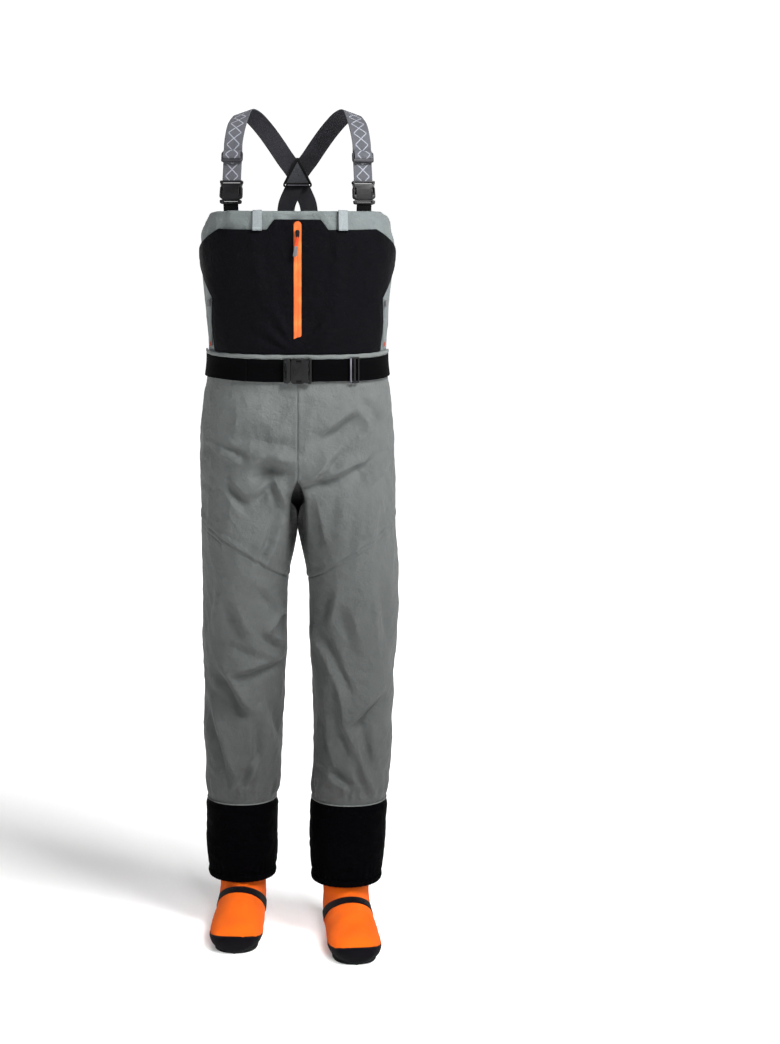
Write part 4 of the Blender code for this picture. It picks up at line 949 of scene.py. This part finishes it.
def buckle(prefix, suffix, place, half_size, mouth_share, plug_body, socket_body):
    """Side-release buckle: waisted socket over a plug with a slot for its webbing."""
    length, w, d = half_size
    mouth = -length * mouth_share
    wide = prefix == "belt"
    outline = mirror_y([
        (mouth, w * 0.70), (mouth + 0.0015, w * 0.90), (mouth + 0.0045, w * 0.99), (length * 0.36, w * 0.97),
        (length * 0.54, w * 0.88), (length * 0.68, w * 0.90), (length * 0.80, w), (length * 0.96, w),
        (length, w * 0.94)])
    slot = rounded(length * 0.05, w - 0.0032, 0.0008, length * 0.82)
    window = (0.20, 0.10, 0.06) if wide else (0.30, 0.06, 0.10)
    windows = [rounded(length * window[0], w * window[1], w * 0.055, length * window[2], y)
               for y in (w * 0.80, -w * 0.80)]
    layers = [([outline, slot], -d, -d + 0.0019, 0.0005), ([outline, slot, *windows], d - 0.0021, d, 0.0008),
              ([rounded(length * 0.05, w * 0.93, 0.0012, length * 0.70)], -d + 0.001, d - 0.001, 0.0004),
              ([rounded(length * 0.03, w * 0.93, 0.0006, length * 0.96)], -d + 0.001, d - 0.001, 0.0003)]
    if wide:
        c, s = cos(radians(35)), sin(radians(35))
        for k in range(4):
            x0, y0 = length * (-0.08 + 0.17 * k), w * (0.30 - 0.20 * k)
            ridge = [(x0 + x * c - y * s, y0 + x * s + y * c) for x, y in rounded(0.0042, 0.0006, 0.0005)]
            layers.append(([ridge], d - 0.0002, d + 0.0006, 0.0003))
        rim = [rounded(0.0040, 0.0085, 0.0038, length * -0.20), rounded(0.0024, 0.0066, 0.0022, length * -0.20)]
        layers.append((rim, d - 0.0002, d + 0.0008, 0.0004))
    else:
        for y in (-0.66, 0.66):
            rail = rounded(length * 0.42, 0.0007, 0.0006, length * 0.04, w * y)
            layers.append(([rail], d - 0.0002, d + 0.0007, 0.0003))
        for k in range(5):
            rib = rounded(0.0004, w * 0.40, 0.0003, length * (-0.10 + 0.09 * k))
            layers.append(([rib], d - 0.0002, d + 0.0004, 0.0002))
    moulded(f"{prefix}_socket_shell{suffix}", layers, place, BUCKLE, "buckle_black", socket_body,
            f"{prefix}_buckle_socket{suffix}")
    end = mouth - 0.0003
    base = mirror_y([(-length, w * 0.80), (-length * 0.94, w * 0.93), (-length * 0.72, w * 0.97),
                     (end - 0.0012, w * 0.90), (end, w * 0.70)])
    slot = rounded(length * 0.065, w * 0.66, 0.0011, -length * (0.86 if wide else 0.83))
    # inside the socket: a tongue up to the prongs' roots and a guide rail between the prongs
    root, tip, lap = -length * 0.22 - 0.0005, length * 0.55, 0.0008
    tongue = rounded((root - end) / 2 + lap, w * 0.76, 0.0010, (root + end) / 2 - lap)
    rail = rounded((tip - root) / 2 + lap, 0.0022, 0.0016, (tip + root) / 2 - lap)
    layers = [([base, slot], -d + 0.0006, d - 0.0006, 0.0011), ([tongue], -d + 0.0022, d - 0.0024, 0.0004),
              ([rail], -d + 0.0023, d - 0.0025, 0.0004)]
    moulded(f"{prefix}_plug_base{suffix}", layers, place, BUCKLE, "buckle_black", plug_body,
            f"{prefix}_buckle_plug{suffix}")


def suspenders():
    for side, sign in SIDES.items():
        normal, direction = strap_normal(side), strap_direction(side)
        place = frame_at(strap_line(side, STRAP_BUCKLE_Z), direction, normal)
        buckle("strap", f"_{side}", place, (STRAP_BUCKLE_HALF, 0.0195, 0.0042), 0.60, ROOT,
               f"strap_buckle_socket_{side}")
        reach = direction * (STRAP_BUCKLE_HALF + 0.0004)
        top, bottom = place.translation + reach, place.translation - reach
        split = strap_line(side, STRAP_SPLIT_Z)
        path = [(top - direction * 0.0035, normal), (top.lerp(split, 0.5), normal),
                (split - direction * 0.0003, normal)]
        end = bake(ribbon(f"strap_end_{side}_webbing", path, STRAP_WIDTH, PRINTED, "webbing_grey", ROOT,
                          f"strap_end_{side}"))
        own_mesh(end)
        crest = [(mirrored(p, side), mirrored(n, side).normalized()) for p, n in STRAP_CREST]
        under = 0.0950 if side == "right" else 0.0972
        crest += [(mirrored(p, side), Vector((0, 1, 0.2))) for p in ((0.0085, under, 1.3590), (-0.0030, under, 1.3420))]
        path = [(strap_line(side, z), normal) for z in (STRAP_SPLIT_Z, 1.3930, 1.4110)] + crest
        ribbon(f"strap_web_{side}_webbing", path, STRAP_WIDTH, PRINTED, "webbing_grey", ROOT,
               f"strap_web_{side}", wave=0.0001)
        adjuster(side, direction, normal)
        path = [(bottom + direction * 0.0040, normal)]
        for z, inside in ((1.2950, -0.0108), (1.2780, -0.0096), (1.2640, -0.0082)):
            path.append((Vector(torso(sign * turn_at(STRAP_X + 0.006, z), z, inside, False)), normal))
        ribbon(f"strap_tab_{side}_cloth", path, 0.0256, TAB, "webbing_black", ROOT, f"strap_tab_{side}")
        behind = 0.0026 if side == "left" else 0.0
        out = Vector((0.0, 1.0, 0.15)).normalized()
        path = [(Vector((sign * x, y + behind, z)), out) for x, y, z in (
            (-0.0010, 0.0960, 1.3420), (0.0060, 0.0985, 1.3260), (0.0180, 0.1080, 1.2980))]
        for z, x in ((1.2720, 0.0215), (1.2560, 0.0250), (1.2400, 0.0285)):
            path.append(on_torso(180.0 - sign * float(turn_at(x, z)), z, 0.0030 + behind))
        ribbon(f"strap_tail_{side}_webbing", path, 0.030, STRAP, "webbing_grey", ROOT, f"strap_tail_{side}")
        for prong in "ab":
            repaint(f"strap_prong_{prong}_{side}", BUCKLE)


def adjuster(side, direction, normal):
    """Slide adjuster with the strap's fold over its middle bar."""
    centre, body = strap_line(side, ADJUSTER_Z, ADJUSTER_LIFT), f"strap_adjuster_{side}"
    holes = [rounded(0.0020, 0.0158, 0.0008, x) for x in (-0.0046, 0.0046)]
    layers = [([rounded(0.0095, 0.0188, 0.0050), *holes], -0.0013, 0.0019, 0.0010),
              ([rounded(0.0030, 0.0182, 0.0022, -0.0058)], 0.0, 0.0046, 0.0018)]
    moulded(f"{body}_slide", layers, frame_at(centre, direction, normal), ADJUSTER, "buckle_black", body, body)
    fold = ((0.0120, -0.0022), (0.0088, 0.0020), (0.0030, 0.0044), (-0.0016, 0.0038), (-0.0034, 0.0016))
    path = [(centre + direction * up + normal * lift, normal) for up, lift in fold]
    ribbon(f"{body}_fold", path, 0.0306, PRINTED, "webbing_grey", body)


def cross_piece():
    """Triangular back piece: black frame with a bar, over a stitched patch."""
    place = frame_at((0.0, 0.0905, 1.3500), (0.0, -0.20, 1.0), (0, 1, 0))
    outer = mirror_y([(0.0290, -0.0016), (0.0275, -0.0030), (-0.0175, -0.0250), (-0.0212, -0.0248),
                      (-0.0230, -0.0225)])
    inner = [(0.0225, 0.0000), (-0.0152, -0.0195), (-0.0152, 0.0195)]
    holes = [rounded(0.0012, 0.0012, 0.0010, -0.0190, y) for y in (0.0205, -0.0205)]
    moulded("cross_piece_frame", [([outer, inner, *holes], -0.0017, 0.0017, 0.0009)], place, BUCKLE,
            "buckle_black", ROOT, "cross_piece")
    patch = [(0.0245, 0.0), (-0.0165, -0.0212), (-0.0165, 0.0212)]
    moulded("cross_piece_patch", [([patch], -0.0009, 0.0009, 0.0003)], place, PATCH, "lining_grey", ROOT)
    bar = rounded(0.0010, 0.0180, 0.0009, -0.0192)
    moulded("cross_piece_bar", [([bar], -0.0026, -0.0010, 0.0006)], place, BAR, "buckle_black", ROOT)


def bib_loops():
    profile = ((1.3010, 0.0012), (1.3008, 0.0034), (1.2980, 0.0046), (1.2850, 0.0060), (1.2740, 0.0076),
               (1.2710, 0.0090), (1.2688, 0.0084), (1.2682, 0.0060))
    for side, x in (("right", -0.0660), ("left", 0.0745)):
        path = [on_torso(turn_at(x, z), z, lift) for z, lift in profile]
        ribbon(f"bib_loop_{side}_webbing", path, 0.0156, LOOP, "loop_grey", ROOT, f"bib_loop_{side}",
               thickness=0.0013, per=6)


# ---------------------------------------------------------------- belt

BELT_LIFT, BELT_HALF_WIDTH = 0.0042, 0.019
BUCKLE_HALF = 0.0235
BELT_SPLIT_X = -0.083  # where the free length by the plug meets the rest of the belt
KEEPER_X, BELT_LOOP_TURN = 0.093, 118.0


def belt_turn(x):
    return float(turn_at(x, BELT_Z))


def belt_strip(name, start, end, count, replaced):
    turns = np.linspace(start, end, count)
    z = BELT_Z + np.array((1.0, 0.93, 0.6, 0.2, -0.2, -0.6, -0.93, -1.0))[:, None] * BELT_HALF_WIDTH
    sag = 0.0006 * np.sin(np.radians(turns) * 5)
    obj = panel(name, torso(turns, z + sag, BELT_LIFT + 0 * z * turns, False), 0.0018, BELT, "webbing_black",
                ROOT, replaced)
    layer = obj.data.uv_layers[0].data
    layer.foreach_set("uv", read(layer, "uv", 2)[:, ::-1].ravel())
    return obj


def belt():
    belt_strip("belt_webbing_strip", belt_turn(BUCKLE_HALF - 0.0010), 360.0 + belt_turn(BELT_SPLIT_X - 0.0002),
               240, "belt_webbing")
    end = bake(belt_strip("belt_end_strip", belt_turn(BELT_SPLIT_X), belt_turn(-0.0215), 24, "belt_end"))
    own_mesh(end)
    buckle("belt", "", frame_at((0.0, -0.1205, BELT_Z), (1, 0, 0), FORWARD), (BUCKLE_HALF, 0.0215, 0.0045),
           0.50, "belt_buckle_plug", ROOT)
    for prong in "ab":
        repaint(f"belt_prong_{prong}", BUCKLE)
    turn = belt_turn(KEEPER_X)
    across = Vector(torso(turn + 2, BELT_Z, 0.0, False) - torso(turn - 2, BELT_Z, 0.0, False))
    point, normal = on_torso(turn, BELT_Z, BELT_LIFT + 0.0027)
    place = frame_at(point, across, normal)
    holes = [rounded(0.0020, 0.0190, 0.0008, x) for x in (-0.0040, 0.0040)]
    plate = [rounded(0.0085, 0.0220, 0.002), *holes]
    moulded("belt_keeper_slide", [(plate, -0.0011, 0.0016, 0.0007)], place, BUCKLE, "buckle_black",
            "belt_keeper", "belt_keeper")
    bar = rounded(0.0015, 0.0205, 0.0012, -0.0074)
    moulded("belt_keeper_bar", [([bar], 0.0008, 0.0025, 0.0007)], place, BAR, "buckle_black", "belt_keeper")
    profile = ((1.0600, 0.0016), (1.0596, 0.0050), (1.0560, 0.0078), (1.0330, 0.0082), (1.0100, 0.0078),
               (1.0064, 0.0050), (1.0060, 0.0016))
    for side, sign in SIDES.items():
        path = [on_torso(sign * BELT_LOOP_TURN, z, lift) for z, lift in profile]
        ribbon(f"belt_loop_{side}_cloth", path, 0.012, WELT, "shell_grey", ROOT, f"belt_loop_{side}",
               thickness=0.0012, per=6)


# ---------------------------------------------------------------- gravel guards and booties

def guard(side):
    top, hem = (np.array(row) for row in GUARDS[side])
    hem_share = 1 - GUARD_HEM / (top[0] - hem[0])
    turns = np.arange(0, 360, 2.5)
    angle = np.radians(turns)
    shape = {"closed": True, "flip": side == "right"}

    def surface(shares, lift):
        z, *section = (a + (b - a) * shares[:, None] for a, b in zip(top, hem))
        return oval(side, turns, z, section, lift)

    shares = np.linspace(0.0, hem_share - 0.004, 56)
    s = (shares / hem_share)[:, None]
    plain = surface(shares, 0.0)
    lift = 0.0016 * noise_at(plain, 0.055, 6) + 0.0010 * creases(plain, 0.030, 7, 0.7)
    lift = lift * smooth(s, 0.0, 0.12) + 0.0026 * np.sin(pi * s**1.6)
    lift += 0.0011 * np.sin(angle * 41 + 2 * np.sin(angle * 7)) * smooth(s, 0.72, 1.0)
    lift = lift * smooth(1 - s, -0.1, 0.10) - 0.0023 * (1 - smooth(s, 0.0, 0.10))
    obj = bake(panel(f"gravel_guard_{side}_cloth", surface(shares, lift), 0.0010, GUARD, "guard_black", ROOT,
                     f"gravel_guard_{side}", **shape))
    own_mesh(obj)
    shares = np.concatenate(((hem_share - 0.030,), np.linspace(hem_share, 1.0, 15)))
    s = np.concatenate(((0.0,), np.linspace(0, 1, 15)))[:, None]
    lift = 0.0006 - 0.0010 * (s == 0) + 0.0016 * np.sin(pi * s) ** 0.6
    lift = lift + 0.0007 * np.sin(angle * 47 + 2 * np.sin(angle * 6))
    panel(f"guard_hem_{side}_cloth", surface(shares, lift), 0.0028, GUARD, "guard_black", f"guard_hem_{side}",
          f"guard_hem_{side}", **shape)
    shares, lift = np.array((-0.009, -0.006, 0.001, 0.004)), np.array((-0.0030, -0.0017, -0.0014, -0.0022))
    panel(f"guard_trim_{side}", surface(shares, lift[:, None]), 0.0008, TRIM, "shell_grey", ROOT, **shape)


def on_ground(side, forward, across, z):
    """Points given forward and outward of a foot's ankle."""
    x, y, toe_out = FEET[side]
    s, c = sin(radians(toe_out) * SIDES[side]), cos(radians(toe_out))
    across = across * SIDES[side]
    return np.stack((x + forward * s + across * c, y - forward * c + across * s, z), -1)


def foot(side, turn, position):
    """Points of a foot's sections. Turn 0 is the shin and the top of the foot."""
    turn, position = np.broadcast_arrays(np.asarray(turn, float), np.asarray(position, float))
    i = np.clip(position.astype(int), 0, len(FOOT) - 2)
    before, after = np.maximum(i - 1, 0), np.minimum(i + 2, len(FOOT) - 1)
    values = []
    for v in FOOT.T:
        a, b = v[i], v[i + 1]
        start = np.where(i > 0, v[before], 2 * a - b)
        end = np.where(i + 2 < len(FOOT), v[after], 2 * b - a)
        values.append(hermite(a, b, (b - start) / 2, (end - a) / 2, position - i))
    forward, height, tilt, half_width, half_length = values
    reach, tilt = half_length * np.cos(np.radians(turn)), np.radians(tilt)
    z = np.maximum(height + reach * np.sin(tilt), SOLE)
    return on_ground(side, forward + reach * np.cos(tilt), half_width * np.sin(np.radians(turn)), z)


def toe(side, angle, z, lift):
    """Points around the front of a foot, by angle from its heading and by height."""
    angle, z = np.broadcast_arrays(angle, z)
    s, c = np.sin(np.radians(angle)), np.cos(np.radians(angle))
    low, high = np.zeros(angle.shape), np.full(angle.shape, 0.060)
    for _ in range(28):
        reach = (low + high) / 2
        forward = TOE_CENTRE + reach * c
        height, half, depth = (np.interp(forward, TOE[:, 0], TOE[:, i]) for i in (1, 2, 3))
        inside = (reach * s / half) ** 2 + ((z - height) / depth) ** 2 < (forward < TOE[-1, 0])
        low, high = np.where(inside, reach, low), np.where(inside, high, reach)
    return on_ground(side, TOE_CENTRE + (low + lift) * c, (low + lift) * s, z)


def foot_patch(side, turn, position, lift):
    """Points that stand off the foot's own surface."""
    around = foot(side, turn + 2, position) - foot(side, turn - 2, position)
    down = foot(side, turn, np.minimum(position + 0.1, 10.0)) - foot(side, turn, position - 0.1)
    normal = np.cross(around, -down) * SIDES[side]
    return foot(side, turn, position) + normal / np.linalg.norm(normal, axis=-1, keepdims=True) * lift


def bootie(side):
    flip = side == "right"
    turns = np.arange(0, 360, 3.0)
    points = foot(side, turns, np.concatenate((np.linspace(0, 9, 73), np.linspace(9.08, 10.0, 12)))[:, None])
    rim = points[-1:]
    middle = rim.mean(1, keepdims=True) + np.array((0.0, -0.004, 0.0))
    caps = [rim * (1 - t) + middle * t + np.array((0.0, -0.0012, 0.0)) * sin(pi * t)
            for t in (0.3, 0.6, 0.85, 0.999)]
    points = np.concatenate([points, *caps])
    dimples = 0.0012 * noise_at(points, 0.030, 8) + 0.0006 * creases(points, 0.016, 9)
    free = smooth(points[..., 2], 0.010, 0.030) * smooth(0.104 - points[..., 2], 0.0, 0.02)
    points = points + grid_normals(points, True) * SIDES[side] * (dimples * free)[..., None]
    panel(f"bootie_{side}_neoprene", points, 0.0030, ORANGE, "bootie_orange", ROOT, f"bootie_{side}",
          closed=True, flip=flip)
    around = np.linspace(-99, 99, 61)
    at = 5.04 - 0.25 * np.abs(around / 96) ** 1.4 + np.linspace(-0.56, 0.56, 11)[:, None]
    panel(f"instep_band_{side}_neoprene", foot_patch(side, around + 0 * at, at, 0.0016), 0.0014, BLACK_RUBBER,
          "rubber_black", ROOT, f"instep_band_{side}", flip=flip)
    angle = np.linspace(-112, 112, 71)
    level = np.linspace(1, 0, 20)[:, None]
    top = 0.0265 + 0.0085 * np.cos(np.radians(angle) * 0.8) ** 2
    z = 0.0036 + (top - 0.0036) * level
    out = 0.0016 * (1 - np.exp(-((1 - level) * 60 + 0.6))) * smooth(z, 0.0, 0.006)
    panel(f"toe_cap_{side}_neoprene", toe(side, angle, z, out), 0.0014, BLACK_RUBBER, "rubber_black", ROOT,
          f"toe_cap_{side}", flip=flip)
    line = np.array(mirror_y(list(SOLE_HALF))[:-1])
    smoothed = []
    for i in range(len(line)):
        four = [line[(i + k) % len(line)] for k in (-1, 0, 1, 2)]
        smoothed += [tuple(blend_rows(*four, t)) for t in (0.0, 0.33, 0.67)]
    ankle = on_ground(side, 0.0, 0.0, 0.0)
    place = frame_at(ankle, on_ground(side, 1.0, 0.0, 0.0) - ankle, (0, 0, 1))
    moulded(f"bootie_sole_{side}_rubber", [([smoothed], 0.0002, SOLE, 0.0008)], place, SOLE_RUBBER,
            "rubber_black", ROOT, f"bootie_sole_{side}")


# ---------------------------------------------------------------- stage, light and camera

LIGHTS = (  # name, place, aim, size, power and spread in degrees
    ("key", (1.9, -2.1, 3.7), (0, 0, 0.95), 1.5, 300, 180), ("fill", (-2.6, -2.8, 2.4), (0, 0, 0.95), 2.2, 12, 180),
    ("back", (-0.8, 2.6, 3.4), (0, 0, 0.95), 1.6, 60, 180), ("low", (0.3, -2.2, 1.3), (0, -0.10, -0.12), 0.4, 1.4, 24),
)


def stage():
    g = Graph("studio_floor", 0.9)
    base = g.mix(g.noise(3.0), (0.90, 0.90, 0.90), (0.93, 0.93, 0.93))
    away = g.node("VectorMath", g.where, operation="LENGTH").outputs["Value"]
    glow = g.mix(g.remap(away, 0.6, 3.5, 0.0, 1.0), (0.16, 0.16, 0.16), (0.95, 0.95, 0.95))
    g.put(g.shader.inputs["Emission Color"], glow)
    steps = np.linspace(-40.0, 40.0, 9)
    floor = link("studio_floor", grid("studio_floor", np.array([[(x, y, 0.0) for x in steps] for y in steps[::-1]])))
    floor.data.materials.append(g.done(base, Emission_Strength=1.0))
    scene = bpy.context.scene
    scene.world = bpy.data.worlds.new("studio")
    scene.world.use_nodes = True
    nodes, links = scene.world.node_tree.nodes, scene.world.node_tree.links
    split, ramp = nodes.new("ShaderNodeSeparateXYZ"), nodes.new("ShaderNodeMapRange")
    links.new(nodes.new("ShaderNodeTexCoord").outputs["Generated"], split.inputs[0])
    links.new(split.outputs[2], ramp.inputs[0])
    for socket, value in zip(ramp.inputs[1:5], (0.03, 0.22, 1.1, 0.08)):
        socket.default_value = value
    links.new(ramp.outputs[0], nodes["Background"].inputs["Color"])
    for name, place, aim, size, power, spread in LIGHTS:
        light = bpy.data.lights.new(name, "AREA")
        light.size, light.energy, light.spread = size, power, radians(spread)
        obj = link(name, light)
        obj.location = place
        obj.rotation_euler = (Vector(aim) - Vector(place)).to_track_quat("-Z", "Y").to_euler()
    camera = link("camera", bpy.data.cameras.new("camera"))
    camera.data.lens = 92.72
    turn, pitch, roll = (Matrix.Rotation(radians(a), 4, axis) for a, axis in ((-2.0, "Z"), (79.71, "X"), (0.34, "Z")))
    camera.matrix_world = Matrix.Translation((0, -4.6, 1.59)) @ turn @ pitch @ roll
    scene.camera = camera
    scene.view_settings.view_transform = "Standard"


stage()
lower_body()
bib()
pocket()
chest_zip()
side_zips()
suspenders()
cross_piece()
bib_loops()
belt()
for each in SIDES:
    guard(each)
    bootie(each)
